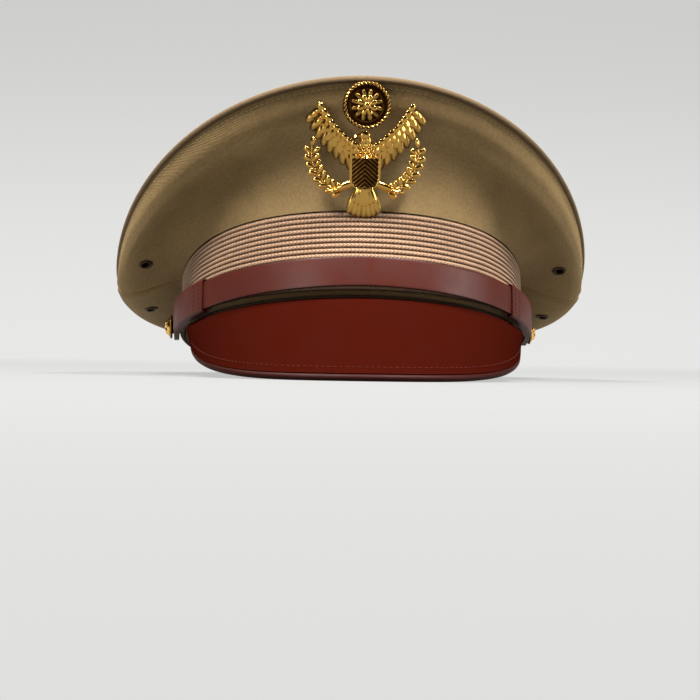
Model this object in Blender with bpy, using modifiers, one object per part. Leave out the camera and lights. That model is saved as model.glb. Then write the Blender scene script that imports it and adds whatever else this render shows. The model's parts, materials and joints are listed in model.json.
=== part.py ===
"""Peaked service cap: a cloth crown on a stiff band, with a leather visor, a chin strap and a gilt badge.

Lengths are in metres. The cap is drawn in its own frame: the bottom of the band is the plane z = 0,
the front is -Y, and an angle round the cap runs from 0 at the front towards +X. The whole cap is then
tilted so that it stands on a table, on the edge of its visor and the back of its band.
"""
import math

import bmesh
import bpy
from mathutils import Matrix, Vector

# Head opening and fit
HEAD_LENGTH = 0.199
HEAD_WIDTH = 0.1665
CLEARANCE = 0.0003
SEGMENTS = 48

# Band, from the sweatband outwards
SWEATBAND_THICKNESS = 0.0010
SWEATBAND_HEIGHT = 0.030
SWEATBAND_TOP_GAP = 0.003
FRAME_THICKNESS = 0.0018
BAND_HEIGHT_FRONT = 0.042
BAND_HEIGHT_REAR = 0.0285
BAND_TURN = 1.35
BRAID_THICKNESS = 0.0018
PIPING_RADIUS = 0.0013
BOW_WIDTH = 0.024
BOW_HEIGHT = 0.011
BOW_RISE = 0.012
BOW_THICKNESS = 0.0012

# Crown
CLOTH_THICKNESS = 0.0010
RIM_WIDTH = 0.248
RIM_LENGTH = 0.282
RIM_OVERHANG_FRONT = 0.024
RIM_HEIGHT_FRONT = 0.1010
RIM_HEIGHT_REAR = 0.031
RIM_SOFTNESS = 0.12
CROWN_HEIGHT_MIDDLE = 0.084
QUARTER_RISE_FRONT = math.radians(88.0)
QUARTER_RISE_REAR = math.radians(-25.0)
QUARTER_RIM_FRONT = math.radians(62.0)
QUARTER_RIM_REAR = math.radians(100.0)
QUARTER_FOOT_PULL_FRONT = 0.026
QUARTER_FOOT_PULL_REAR = 0.022
QUARTER_RIM_PULL_FRONT = 0.030
QUARTER_RIM_PULL_REAR = 0.013
QUARTER_TURN = 1.30
SEAM_GAP = 0.0004
WELT_RADIUS = 0.0017
GROMMET_RADIUS = 0.0012
GROMMET_INSET = 0.0075
FERRULE_LENGTH = 0.030
FERRULE_WALL = 0.0008
LINING_THICKNESS = 0.0006
LINING_DROP = 0.006
SHIELD_LENGTH = 0.130
SHIELD_WIDTH = 0.100
SHIELD_THICKNESS = 0.0005
SHIELD_GAP = 0.0022
STAY_THICKNESS = 0.0010
STAY_SPAN = math.radians(24.0)
STAY_HEIGHT_SHARE = 0.86

# Vent eyelets, two beside each side seam
EYELET_RADIUS = 0.0038
EYELET_BORE_RADIUS = 0.0020
EYELET_WALL = 0.0006
EYELET_SET = 0.0011
EYELET_SPREAD = math.radians(12.5)
EYELET_HEIGHT_SHARE = 0.40

# Visor
VISOR_CORE_THICKNESS = 0.0012
VISOR_TOP_THICKNESS = 0.0009
VISOR_UNDER_THICKNESS = 0.0007
VISOR_REACH = 0.0300
VISOR_DROP = 0.0450
VISOR_WIDTH = 0.1655
VISOR_END_DEPTH = 0.038
VISOR_SPAN = math.radians(68.0)
VISOR_END = math.radians(88.0)
VISOR_CORNER = 5.5
VISOR_SHOULDER_REACH = 0.0048
VISOR_SHOULDER_DROP = 0.0013
FLANGE_HEIGHT = 0.009
BINDING_RADIUS = 0.0017

# Chin strap, keepers and side buttons
STRAP_WIDTH = 0.014
STRAP_THICKNESS = 0.0010
STRAP_HEIGHT_FRONT = 0.0115
STRAP_STANDOFF = 0.00035
STRAP_SAG = 1.6
STRAP_SETTLE = 0.0009
KEEPER_START = math.radians(55.0)
KEEPER_END = math.radians(78.0)
KEEPER_THICKNESS = 0.0007
KEEPER_PLAY = 0.0005
KEEPER_SIDE_PLAY = 0.0009
KEEPER_CORNER = 0.0012
KEEPER_TRAVEL = 0.012
BUTTON_HEIGHT = 0.0054
BUTTON_RADIUS = 0.0062
BUTTON_DOME = 0.0034
BUTTON_RIM = 0.0007
BUTTON_SHANK_RADIUS = 0.0036
BUTTON_SHANK_LENGTH = 0.0008
POST_RADIUS = 0.0015
POST_PLAY = 0.0004
NUT_RADIUS = 0.0042

# Badge
BADGE_WIDTH = 0.057
BADGE_HEIGHT = 0.0675
BADGE_CENTRE_SHARE = 0.525
BADGE_CURVE_RADIUS = 0.140
BADGE_STANDOFF = 0.0008
LOBE_THICKNESS = 0.0012
LOBE_LAY = 0.0618
DISC_RADIUS = 0.0105
DISC_THICKNESS = 0.0014
DISC_RIM_RADIUS = 0.0013
BREAST_SHIELD_WIDTH = 0.0150
BREAST_SHIELD_HEIGHT = 0.0165
BREAST_SHIELD_THICKNESS = 0.0014
BADGE_POST_RADIUS = 0.0016
BADGE_NUT_RADIUS = 0.0075
BADGE_NUT_THICKNESS = 0.0030

# Finishes: base colour, roughness, metallic
KHAKI = ((0.38, 0.29, 0.14, 1.0), 0.85, 0.0)
LINING_CLOTH = ((0.45, 0.36, 0.22, 1.0), 0.60, 0.0)
BRAID_TAN = ((0.56, 0.40, 0.26, 1.0), 0.75, 0.0)
RUSSET_LEATHER = ((0.16, 0.030, 0.018, 1.0), 0.40, 0.0)
TAN_LEATHER = ((0.30, 0.15, 0.07, 1.0), 0.55, 0.0)
BUCKRAM = ((0.60, 0.56, 0.46, 1.0), 0.90, 0.0)
STEEL = ((0.55, 0.55, 0.56, 1.0), 0.35, 1.0)
BRONZE = ((0.08, 0.055, 0.035, 1.0), 0.45, 1.0)
GILT = ((0.83, 0.58, 0.20, 1.0), 0.25, 1.0)
CLEAR_FILM = ((0.80, 0.80, 0.76, 1.0), 0.15, 0.0)

# Layers of the band and strap, as distances outwards from the head opening
FLANGE_INSIDE = SWEATBAND_THICKNESS + CLEARANCE
FLANGE_OUTSIDE = FLANGE_INSIDE + VISOR_CORE_THICKNESS
FRAME_INSIDE = FLANGE_OUTSIDE + CLEARANCE
FRAME_OUTSIDE = FRAME_INSIDE + FRAME_THICKNESS
BRAID_INSIDE = FRAME_OUTSIDE + CLEARANCE
BRAID_OUTSIDE = BRAID_INSIDE + BRAID_THICKNESS
PIPING_CENTRE = FRAME_OUTSIDE + CLEARANCE + PIPING_RADIUS
PIPING_OUTSIDE = PIPING_CENTRE + PIPING_RADIUS
PIPING_RISE = PIPING_RADIUS + 2 * CLEARANCE
KEEPER_INSIDE = max(BRAID_OUTSIDE, PIPING_OUTSIDE) + STRAP_STANDOFF
STRAP_INNER_INSIDE = KEEPER_INSIDE + KEEPER_THICKNESS + KEEPER_PLAY
STRAP_INNER_OUTSIDE = STRAP_INNER_INSIDE + STRAP_THICKNESS
STRAP_OUTER_INSIDE = STRAP_INNER_OUTSIDE + CLEARANCE
STRAP_OUTER_OUTSIDE = STRAP_OUTER_INSIDE + STRAP_THICKNESS
KEEPER_OUTSIDE = STRAP_OUTER_OUTSIDE + KEEPER_PLAY + KEEPER_THICKNESS

# The table plane in the cap's frame, under the back of the band and the visor's bound edge
BAND_BACK = HEAD_LENGTH / 2 + FRAME_OUTSIDE
VISOR_FRONT = HEAD_LENGTH / 2 + FRAME_OUTSIDE + VISOR_REACH
STANCE = BAND_BACK + VISOR_FRONT
TILT = math.atan2(VISOR_DROP, STANCE) + math.asin(BINDING_RADIUS / math.hypot(VISOR_DROP, STANCE))

PARTS = "peaked_cap"
CUTTERS = "peaked_cap_cutters"


def clear_scene():
    for obj in list(bpy.data.objects):
        bpy.data.objects.remove(obj, do_unlink=True)
    for name in (PARTS, CUTTERS):
        old = bpy.data.collections.get(name)
        if old:
            bpy.data.collections.remove(old)
        bpy.context.scene.collection.children.link(bpy.data.collections.new(name))


def empty(name, location, parent=None):
    """An empty that carries pieces; its location is in the cap's frame or its parent's."""
    obj = bpy.data.objects.new(name, None)
    bpy.data.collections[PARTS].objects.link(obj)
    obj.location = location
    obj.parent = parent
    return obj


def finish(obj, look):
    colour, roughness, metallic = look
    material = bpy.data.materials.new(obj.name + "_finish")
    material.use_nodes = True
    shader = material.node_tree.nodes["Principled BSDF"]
    shader.inputs["Base Color"].default_value = colour
    shader.inputs["Roughness"].default_value = roughness
    shader.inputs["Metallic"].default_value = metallic
    material.diffuse_color = colour
    obj.data.materials.append(material)


def add_part(name, data, parent, look):
    obj = bpy.data.objects.new(name, data)
    bpy.data.collections[PARTS].objects.link(obj)
    obj.parent = parent
    finish(obj, look)
    return obj


def add_cutter(name, mesh, parent):
    obj = bpy.data.objects.new(name, mesh)
    bpy.data.collections[CUTTERS].objects.link(obj)
    obj.parent = parent
    obj.hide_render = True
    obj.display_type = "WIRE"
    return obj


def combine(obj, other, operation):
    modifier = obj.modifiers.new(operation.lower() + "_" + other.name, "BOOLEAN")
    modifier.object = other
    modifier.operation = operation
    modifier.solver = "EXACT"
    return modifier


def to_mesh(bm, name, smooth_angle=40.0):
    mesh = bpy.data.meshes.new(name)
    bm.to_mesh(mesh)
    bm.free()
    mesh.shade_smooth()
    mesh.set_sharp_from_angle(angle=math.radians(smooth_angle))
    return mesh


def grid_mesh(name, place, across, along, origin=Vector()):
    """A sheet of quads whose corner (i, j) is place(across[i], along[j]); repeated ends are welded."""
    columns = len(across) - 1
    rows = len(along) - 1
    bm = bmesh.new()
    bmesh.ops.create_grid(bm, x_segments=columns, y_segments=rows, size=1.0)
    for vert in bm.verts:
        i = round((vert.co.x + 1.0) / 2.0 * columns)
        j = round((vert.co.y + 1.0) / 2.0 * rows)
        vert.co = place(across[i], along[j]) - origin
    bmesh.ops.remove_doubles(bm, verts=bm.verts, dist=1e-6)
    bmesh.ops.recalc_face_normals(bm, faces=bm.faces)
    return to_mesh(bm, name)


def steps(start, end, count):
    return [start + (end - start) * i / count for i in range(count + 1)]


def add_sheet(name, place, across, along, thickness, parent, look, origin=Vector()):
    """A sheet of even thickness, half of it on each side of the surface that place gives."""
    obj = add_part(name, grid_mesh(name, place, across, along, origin), parent, look)
    solidify = obj.modifiers.new("thickness", "SOLIDIFY")
    solidify.thickness = thickness
    solidify.offset = 0.0
    solidify.use_even_offset = True
    return obj


def add_tube(name, points, radius, parent, look, cyclic=False, sides=1):
    curve = bpy.data.curves.new(name, "CURVE")
    curve.dimensions = "3D"
    curve.bevel_depth = radius
    curve.bevel_resolution = sides
    curve.use_fill_caps = not cyclic
    spline = curve.splines.new("POLY")
    spline.points.add(len(points) - 1)
    for target, point in zip(spline.points, points):
        target.co = (point.x, point.y, point.z, 1.0)
    spline.use_cyclic_u = cyclic
    return add_part(name, curve, parent, look)


def add_turned(name, profile, turn_steps, parent, look, closed=False):
    """A piece turned about its own Z; the profile runs down its outer side, top to bottom."""
    mesh = bpy.data.meshes.new(name)
    edges = [(i, i + 1) for i in range(len(profile) - 1)]
    if closed:
        edges.append((len(profile) - 1, 0))
    mesh.from_pydata([(radius, 0.0, height) for radius, height in profile], edges, [])
    obj = add_part(name, mesh, parent, look)
    screw = obj.modifiers.new("turn", "SCREW")
    screw.steps = turn_steps
    screw.render_steps = turn_steps
    screw.use_merge_vertices = True
    screw.merge_threshold = 0.00001
    return obj


def rod_mesh(name, radius, low, high, sides=20):
    """A plain rod along Z from low to high."""
    bm = bmesh.new()
    bmesh.ops.create_cone(bm, cap_ends=True, segments=sides, radius1=radius, radius2=radius, depth=high - low)
    bmesh.ops.translate(bm, verts=bm.verts, vec=(0.0, 0.0, (low + high) / 2))
    return to_mesh(bm, name)


def stand_along(obj, location, direction, up=Vector((0.0, 0.0, 1.0))):
    """Put an object's origin at location, with its Z along direction and its Y as near up as it goes."""
    z = direction.normalized()
    x = up.cross(z).normalized()
    y = z.cross(x)
    frame = Matrix((x, y, z)).transposed().to_4x4()
    obj.matrix_local = Matrix.Translation(location) @ frame


def offset_surface(place, distance, step=1e-4):
    """The surface a distance along the normal of another, on the side that across x along points to."""
    def moved(u, v):
        across = place(u + step, v) - place(u - step, v)
        along = place(u, v + step) - place(u, v - step)
        return place(u, v) + across.cross(along).normalized() * distance
    return moved


def mix(start, end, share):
    return start + (end - start) * share


def smooth_step(value):
    value = min(max(value, 0.0), 1.0)
    return value * value * (3.0 - 2.0 * value)


def rear_share(angle, turn):
    """0 at the front of the cap, rising to 1 once 1 - cos(angle) has reached turn."""
    return math.sin(math.pi / 2 * min(1.0, (1.0 - math.cos(angle)) / turn)) ** 2


def oval(angle, offset, height):
    """A point on the head oval grown outwards by offset."""
    x = (HEAD_WIDTH / 2 + offset) * math.sin(angle)
    y = -(HEAD_LENGTH / 2 + offset) * math.cos(angle)
    return Vector((x, y, height))


def band_top(angle):
    return mix(BAND_HEIGHT_FRONT, BAND_HEIGHT_REAR, rear_share(angle, BAND_TURN))


def rim_centre():
    return Vector((0.0, RIM_LENGTH / 2 - RIM_OVERHANG_FRONT - HEAD_LENGTH / 2 - BRAID_OUTSIDE, 0.0))


def rim_height(angle):
    """High at the front, falling evenly to the side seams and level round the back."""
    ahead = math.cos(angle)
    ramp = (ahead + math.hypot(ahead, RIM_SOFTNESS)) / 2
    return mix(RIM_HEIGHT_REAR, RIM_HEIGHT_FRONT, ramp)


def rim_point(angle):
    """The middle of the welt that runs round the crown's rim."""
    x = RIM_WIDTH / 2 * math.sin(angle)
    y = rim_centre().y - RIM_LENGTH / 2 * math.cos(angle)
    return Vector((x, y, rim_height(angle)))


def quarter_foot(angle):
    """Where the side cloth rises from the top edge of the band."""
    behind = (FRAME_OUTSIDE + BRAID_OUTSIDE) / 2
    offset = mix(behind, BRAID_OUTSIDE + CLEARANCE, rear_share(angle, QUARTER_TURN))
    return oval(angle, offset, band_top(angle) + CLEARANCE + CLOTH_THICKNESS / 2)


def quarter_outward(angle):
    out = rim_point(angle) - quarter_foot(angle)
    out.z = 0.0
    return out


def rim_tangent(angle):
    """The way the side cloth runs as it reaches the rim."""
    share = rear_share(angle, QUARTER_TURN)
    lean = mix(QUARTER_RIM_FRONT, QUARTER_RIM_REAR, share)
    tangent = quarter_outward(angle).normalized() * math.cos(lean)
    tangent.z = math.sin(lean)
    return tangent


def quarter_point(angle, share):
    """The crown's side cloth: upright over the badge, a drooping pouch at the sides and back."""
    back = rear_share(angle, QUARTER_TURN)
    rise = mix(QUARTER_RISE_FRONT, QUARTER_RISE_REAR, back)
    start = quarter_foot(angle)
    end = rim_point(angle) - rim_tangent(angle) * (WELT_RADIUS + CLEARANCE)
    foot_pull = quarter_outward(angle).normalized() * math.cos(rise)
    foot_pull.z = math.sin(rise)
    first = start + foot_pull * mix(QUARTER_FOOT_PULL_FRONT, QUARTER_FOOT_PULL_REAR, back)
    second = end - rim_tangent(angle) * mix(QUARTER_RIM_PULL_FRONT, QUARTER_RIM_PULL_REAR, back)
    rest = 1.0 - share
    return (start * rest ** 3 + first * 3 * rest ** 2 * share
            + second * 3 * rest * share ** 2 + end * share ** 3)


def top_height(angle, share):
    """The crown's top: a dome over the head that runs out to the rim."""
    return rim_height(angle) + (CROWN_HEIGHT_MIDDLE - rim_height(angle)) * (1.0 - share * share)


def top_tangent(angle):
    """The way the top cloth runs as it reaches the rim."""
    out = rim_point(angle) - rim_centre()
    out.z = 2.0 * (rim_height(angle) - CROWN_HEIGHT_MIDDLE)
    return out.normalized()


def top_point(angle, share):
    out = rim_point(angle) - rim_centre()
    out.z = 0.0
    point = rim_centre() + out * share
    point.z = top_height(angle, share)
    return point - top_tangent(angle) * (WELT_RADIUS + CLEARANCE) * share


def grommet_point(angle):
    """The spring wire sits in the corner between the top and the side cloth."""
    corner = (rim_tangent(angle) + top_tangent(angle)).normalized()
    return rim_point(angle) - corner * GROMMET_INSET


def lining_point(angle, share):
    edge = oval(angle, (FLANGE_INSIDE + FLANGE_OUTSIDE) / 2, 0.0)
    edge_height = band_top(angle) + CLEARANCE + LINING_THICKNESS
    peak = CROWN_HEIGHT_MIDDLE - LINING_DROP
    height = edge_height + (peak - edge_height) * (1.0 - share ** 2.5)
    return Vector((edge.x * share, edge.y * share, height))


def table_height(y):
    """The table under the tilted cap, as a height in the cap's frame."""
    return (y - BAND_BACK) * math.tan(TILT)


def visor_edge(turn):
    """The middle of the binding on the visor's free edge; turn runs over the visor from side to side."""
    x = VISOR_WIDTH / 2 * math.sin(turn)
    y = -mix(VISOR_END_DEPTH, VISOR_FRONT, math.cos(turn))
    corner = (1.0 - abs(math.sin(turn)) ** VISOR_CORNER) ** (1.0 / VISOR_CORNER)
    return Vector((x, y, (table_height(y) + BINDING_RADIUS / math.cos(TILT)) * corner))


def visor_root(turn, offset, height):
    return oval(turn * VISOR_SPAN / (math.pi / 2), offset, height)


def visor_point(turn, share):
    """The middle of the visor's core, from under the band to the bound edge."""
    shoulder = FRAME_OUTSIDE + PIPING_RADIUS
    drop = -VISOR_SHOULDER_DROP - VISOR_CORE_THICKNESS
    start = visor_root(turn, shoulder, drop)
    bend = visor_root(turn, shoulder + VISOR_SHOULDER_REACH, drop - VISOR_SHOULDER_DROP)
    rest = 1.0 - share
    return start * rest ** 2 + bend * 2 * rest * share + visor_edge(turn) * share ** 2


def visor_stop(turn):
    """How far down the visor its layers run before they meet the binding."""
    step = 0.01
    run = (visor_point(turn, 1.0) - visor_point(turn, 1.0 - step)).length / step
    return 1.0 - (BINDING_RADIUS + CLEARANCE) / run


def core_point(turn, station):
    """The core with its sewing flange: stations below 0 run up inside the band."""
    if station >= 0.0:
        return visor_point(turn, station * visor_stop(turn))
    middle = (FLANGE_INSIDE + FLANGE_OUTSIDE) / 2
    under = -VISOR_SHOULDER_DROP - VISOR_CORE_THICKNESS * 0.9
    path = [(FRAME_OUTSIDE, under), (FRAME_INSIDE, under), (middle, under / 2), (middle, FLANGE_HEIGHT)]
    offset, height = path[round(-station) - 1]
    return visor_root(turn, offset, height)


def strap_height(angle):
    return mix(STRAP_HEIGHT_FRONT, BUTTON_HEIGHT, (abs(angle) / (math.pi / 2)) ** STRAP_SAG)


def strap_settle(angle):
    """Past the keepers the strap closes in on the band, down to the side buttons."""
    return STRAP_SETTLE * smooth_step((abs(angle) - KEEPER_END) / (math.pi / 2 - KEEPER_END))


def strap_point(offset):
    tab = (STRAP_WIDTH / 2) / (HEAD_LENGTH / 2 + offset)

    def place(angle, across):
        past = max(0.0, abs(angle) - math.pi / 2) / tab
        half = STRAP_WIDTH / 2 * math.sqrt(max(0.0, 1.0 - past * past))
        return oval(angle, offset - strap_settle(angle), strap_height(angle) + across * half)
    return place


def strap_angles(offset):
    """Even stations along the strap, closer together round its two tab ends."""
    tab = (STRAP_WIDTH / 2) / (HEAD_LENGTH / 2 + offset)
    ends = [math.pi / 2 + tab * share for share in (0.45, 0.8, 0.97)]
    middle = steps(-math.pi / 2, math.pi / 2, SEGMENTS // 2)
    return [-angle for angle in reversed(ends)] + middle + ends


def keeper_ring(share):
    """Offset and height of a point round the keeper's mid wall, share 0 to 1, corners rounded."""
    wall = KEEPER_THICKNESS / 2
    low, high = KEEPER_INSIDE + wall, KEEPER_OUTSIDE - wall
    half = STRAP_WIDTH / 2 + KEEPER_SIDE_PLAY + wall
    corners = [(high, half), (low, half), (low, -half), (high, -half)]
    station = round(share * 12) % 12
    corner, part = divmod(station, 3)
    offset, height = corners[corner]
    turn = math.pi / 2 * corner + math.pi / 4 * part
    centre_offset = offset + (-KEEPER_CORNER if offset == high else KEEPER_CORNER)
    centre_height = height + (-KEEPER_CORNER if height == half else KEEPER_CORNER)
    return centre_offset + KEEPER_CORNER * math.cos(turn), centre_height + KEEPER_CORNER * math.sin(turn)


def keeper_point(side):
    def place(angle, share):
        offset, height = keeper_ring(share)
        return oval(side * angle, offset, strap_height(angle) + height)
    return place


def keeper_axis(side):
    """Centre and axis of the circle that the keeper slides on, from three points of the strap."""
    offset = (STRAP_INNER_INSIDE + STRAP_OUTER_OUTSIDE) / 2
    travel = KEEPER_TRAVEL / (HEAD_LENGTH / 2 + offset)
    angles = (KEEPER_END, (KEEPER_START + KEEPER_END - travel) / 2, KEEPER_START - travel)
    a, b, c = [oval(side * angle, offset, strap_height(angle)) for angle in angles]
    normal = (b - a).cross(c - a)
    centre = a + ((c - a).length_squared * normal.cross(b - a)
                  + (b - a).length_squared * (c - a).cross(normal)) / (2 * normal.length_squared)
    return centre, normal.normalized()


def build_band(cap):
    ring = steps(-math.pi, math.pi, SEGMENTS)

    def wall(offset, low, high):
        return lambda angle, share: oval(angle, offset, mix(low(angle), high(angle), share))

    def sweatband_top(angle):
        return min(SWEATBAND_HEIGHT, band_top(angle) - SWEATBAND_TOP_GAP)

    def braid_low(angle):
        return PIPING_RISE + PIPING_RADIUS + CLEARANCE

    def ground(angle):
        return 0.0

    add_sheet("sweatband", wall(SWEATBAND_THICKNESS / 2, ground, sweatband_top), ring,
              steps(0.0, 1.0, 1), SWEATBAND_THICKNESS, cap, TAN_LEATHER)
    frame = add_sheet("band_frame", wall((FRAME_INSIDE + FRAME_OUTSIDE) / 2, ground, band_top), ring,
                      steps(0.0, 1.0, 1), FRAME_THICKNESS, cap, BUCKRAM)
    braid = add_sheet("band_braid", wall((BRAID_INSIDE + BRAID_OUTSIDE) / 2, braid_low, band_top), ring,
                      steps(0.0, 1.0, 2), BRAID_THICKNESS, cap, BRAID_TAN)
    piping = [oval(angle, PIPING_CENTRE, PIPING_RISE) for angle in ring[:-1]]
    add_tube("band_lower_piping", piping, PIPING_RADIUS, cap, KHAKI, cyclic=True)

    bow_reach = BOW_WIDTH / HEAD_WIDTH
    bow_offset = -CLEARANCE - BOW_THICKNESS / 2

    def bow(turn, across):
        half = BOW_HEIGHT / 2 * (0.3 + 0.7 * math.sin(math.pi / 2 * min(1.0, abs(turn) / 0.7)))
        return oval(math.pi + turn * bow_reach, bow_offset, BOW_RISE + across * half)

    add_sheet("sweatband_bow", bow, steps(-1.0, 1.0, 8), steps(-1.0, 1.0, 1), BOW_THICKNESS, cap, TAN_LEATHER)
    return frame, braid


def build_crown(cap):
    ring = steps(-math.pi, math.pi, SEGMENTS)
    seam = SEAM_GAP / RIM_WIDTH
    rise = steps(0.0, 1.0, 8)
    half = math.pi / 2
    add_sheet("crown_top", top_point, ring, steps(0.0, 1.0, 6), CLOTH_THICKNESS, cap, KHAKI)
    front = add_sheet("front_quarter", quarter_point, steps(-half + seam, half - seam, SEGMENTS // 2), rise,
                      CLOTH_THICKNESS, cap, KHAKI)
    left = add_sheet("rear_quarter_left", quarter_point, steps(-math.pi + seam, -half - seam, SEGMENTS // 4),
                     rise, CLOTH_THICKNESS, cap, KHAKI)
    right = add_sheet("rear_quarter_right", quarter_point, steps(half + seam, math.pi - seam, SEGMENTS // 4),
                      rise, CLOTH_THICKNESS, cap, KHAKI)
    add_tube("crown_welt", [rim_point(angle) for angle in ring[:-1]], WELT_RADIUS, cap, KHAKI, cyclic=True)
    add_tube("crown_grommet", [grommet_point(angle) for angle in ring[:-1]], GROMMET_RADIUS, cap, STEEL,
             cyclic=True)
    reach = FERRULE_LENGTH / RIM_WIDTH

    def ferrule(angle, share):
        run = (grommet_point(angle + 1e-3) - grommet_point(angle - 1e-3)).normalized()
        side = run.cross(Vector((0.0, 0.0, 1.0))).normalized()
        up = side.cross(run)
        turn = 2 * math.pi * share
        radius = GROMMET_RADIUS + CLEARANCE + FERRULE_WALL / 2
        return grommet_point(angle) + (side * math.cos(turn) + up * math.sin(turn)) * radius

    add_sheet("grommet_ferrule", ferrule, steps(math.pi - reach, math.pi + reach, 6), steps(0.0, 1.0, 10),
              FERRULE_WALL, cap, STEEL)
    half_ring = steps(-math.pi, math.pi, SEGMENTS // 2)
    add_sheet("crown_lining", lining_point, half_ring, steps(0.0, 1.0, 4), LINING_THICKNESS, cap,
              LINING_CLOTH)

    def film(angle, share):
        wide = math.sin(angle) * HEAD_WIDTH / SHIELD_WIDTH
        long = math.cos(angle) * HEAD_LENGTH / SHIELD_LENGTH
        return lining_point(angle, share / math.hypot(wide, long)) - Vector((0.0, 0.0, SHIELD_GAP))

    add_sheet("sweat_shield", film, half_ring, steps(0.0, 1.0, 2), SHIELD_THICKNESS, cap, CLEAR_FILM)
    inward = -(CLOTH_THICKNESS / 2 + STAY_THICKNESS / 2 + CLEARANCE)
    stay = add_sheet("front_stay", offset_surface(quarter_point, inward), steps(-STAY_SPAN, STAY_SPAN, 8),
                     steps(1.0 - STAY_HEIGHT_SHARE, STAY_HEIGHT_SHARE, 5), STAY_THICKNESS, cap, BUCKRAM)
    return front, left, right, stay


def surface_frame(place, u, v, step=1e-4):
    across = place(u + step, v) - place(u - step, v)
    along = place(u, v + step) - place(u, v - step)
    return place(u, v), across.cross(along).normalized()


def build_eyelets(cap, front, left, right):
    """Bronze eyelets through the side cloth, one on each side of each side seam."""
    depth = CLOTH_THICKNESS / 2 + EYELET_SET
    shank = EYELET_BORE_RADIUS + EYELET_WALL
    inner_radius = EYELET_RADIUS * 0.85
    profile = [(EYELET_BORE_RADIUS, depth + EYELET_WALL), (EYELET_RADIUS * 0.8, depth + EYELET_WALL),
               (EYELET_RADIUS, depth), (shank, depth), (shank, -depth), (inner_radius, -depth),
               (inner_radius, -depth - EYELET_WALL), (EYELET_BORE_RADIUS, -depth - EYELET_WALL)]
    for side, side_name, rear in ((-1, "left", left), (1, "right", right)):
        for place_name, offset, cloth in (("front", -EYELET_SPREAD, front), ("rear", EYELET_SPREAD, rear)):
            name = "vent_eyelet_" + side_name + "_" + place_name
            angle = side * (math.pi / 2 + offset)
            point, normal = surface_frame(quarter_point, angle, EYELET_HEIGHT_SHARE)
            eyelet = add_turned(name, profile, 12, cap, BRONZE, closed=True)
            stand_along(eyelet, point, normal)
            reach = 2 * depth
            hole = rod_mesh(name + "_hole", shank + CLEARANCE, -reach, reach)
            cutter = add_cutter(name + "_hole", hole, cap)
            stand_along(cutter, point, normal)
            combine(cloth, cutter, "DIFFERENCE")


def build_visor(cap):
    across = steps(-VISOR_END, VISOR_END, 30)
    stations = [-4.0, -3.0, -2.0, -1.0] + steps(0.0, 1.0, 5)
    add_sheet("visor_core", core_point, across, stations, VISOR_CORE_THICKNESS, cap, BUCKRAM)
    half = VISOR_CORE_THICKNESS / 2 + CLEARANCE

    def layer(distance, start):
        surface = offset_surface(visor_point, distance)
        return lambda turn, share: surface(turn, mix(start, visor_stop(turn), share))

    down = steps(0.0, 1.0, 5)
    add_sheet("visor_top_leather", layer(-half - VISOR_TOP_THICKNESS / 2, 0.04), across, down,
              VISOR_TOP_THICKNESS, cap, RUSSET_LEATHER)
    add_sheet("visor_underside_leather", layer(half + VISOR_UNDER_THICKNESS / 2, 0.08), across, down,
              VISOR_UNDER_THICKNESS, cap, RUSSET_LEATHER)
    edge = [visor_edge(turn) for turn in steps(-VISOR_END, VISOR_END, 40)]
    add_tube("visor_edge_binding", edge, BINDING_RADIUS, cap, RUSSET_LEATHER)


def build_strap(cap):
    swing_at = Vector((0.0, 0.0, BUTTON_HEIGHT))
    swing = empty("strap_swing", swing_at, cap)
    tabs = []
    for name, offset in (("chin_strap_inner", (STRAP_INNER_INSIDE + STRAP_INNER_OUTSIDE) / 2),
                         ("chin_strap_outer", (STRAP_OUTER_INSIDE + STRAP_OUTER_OUTSIDE) / 2)):
        tabs.append(add_sheet(name, strap_point(offset), strap_angles(offset), steps(-1.0, 1.0, 2),
                              STRAP_THICKNESS, swing, RUSSET_LEATHER, swing_at))
    for side, side_name in ((-1, "left"), (1, "right")):
        centre, axis = keeper_axis(side)
        slide = empty("keeper_slide_" + side_name, centre - swing_at, swing)
        add_sheet("strap_keeper_" + side_name, keeper_point(side), steps(KEEPER_START, KEEPER_END, 8),
                  steps(0.0, 1.0, 12), KEEPER_THICKNESS, slide, RUSSET_LEATHER, centre)
    return tabs


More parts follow.
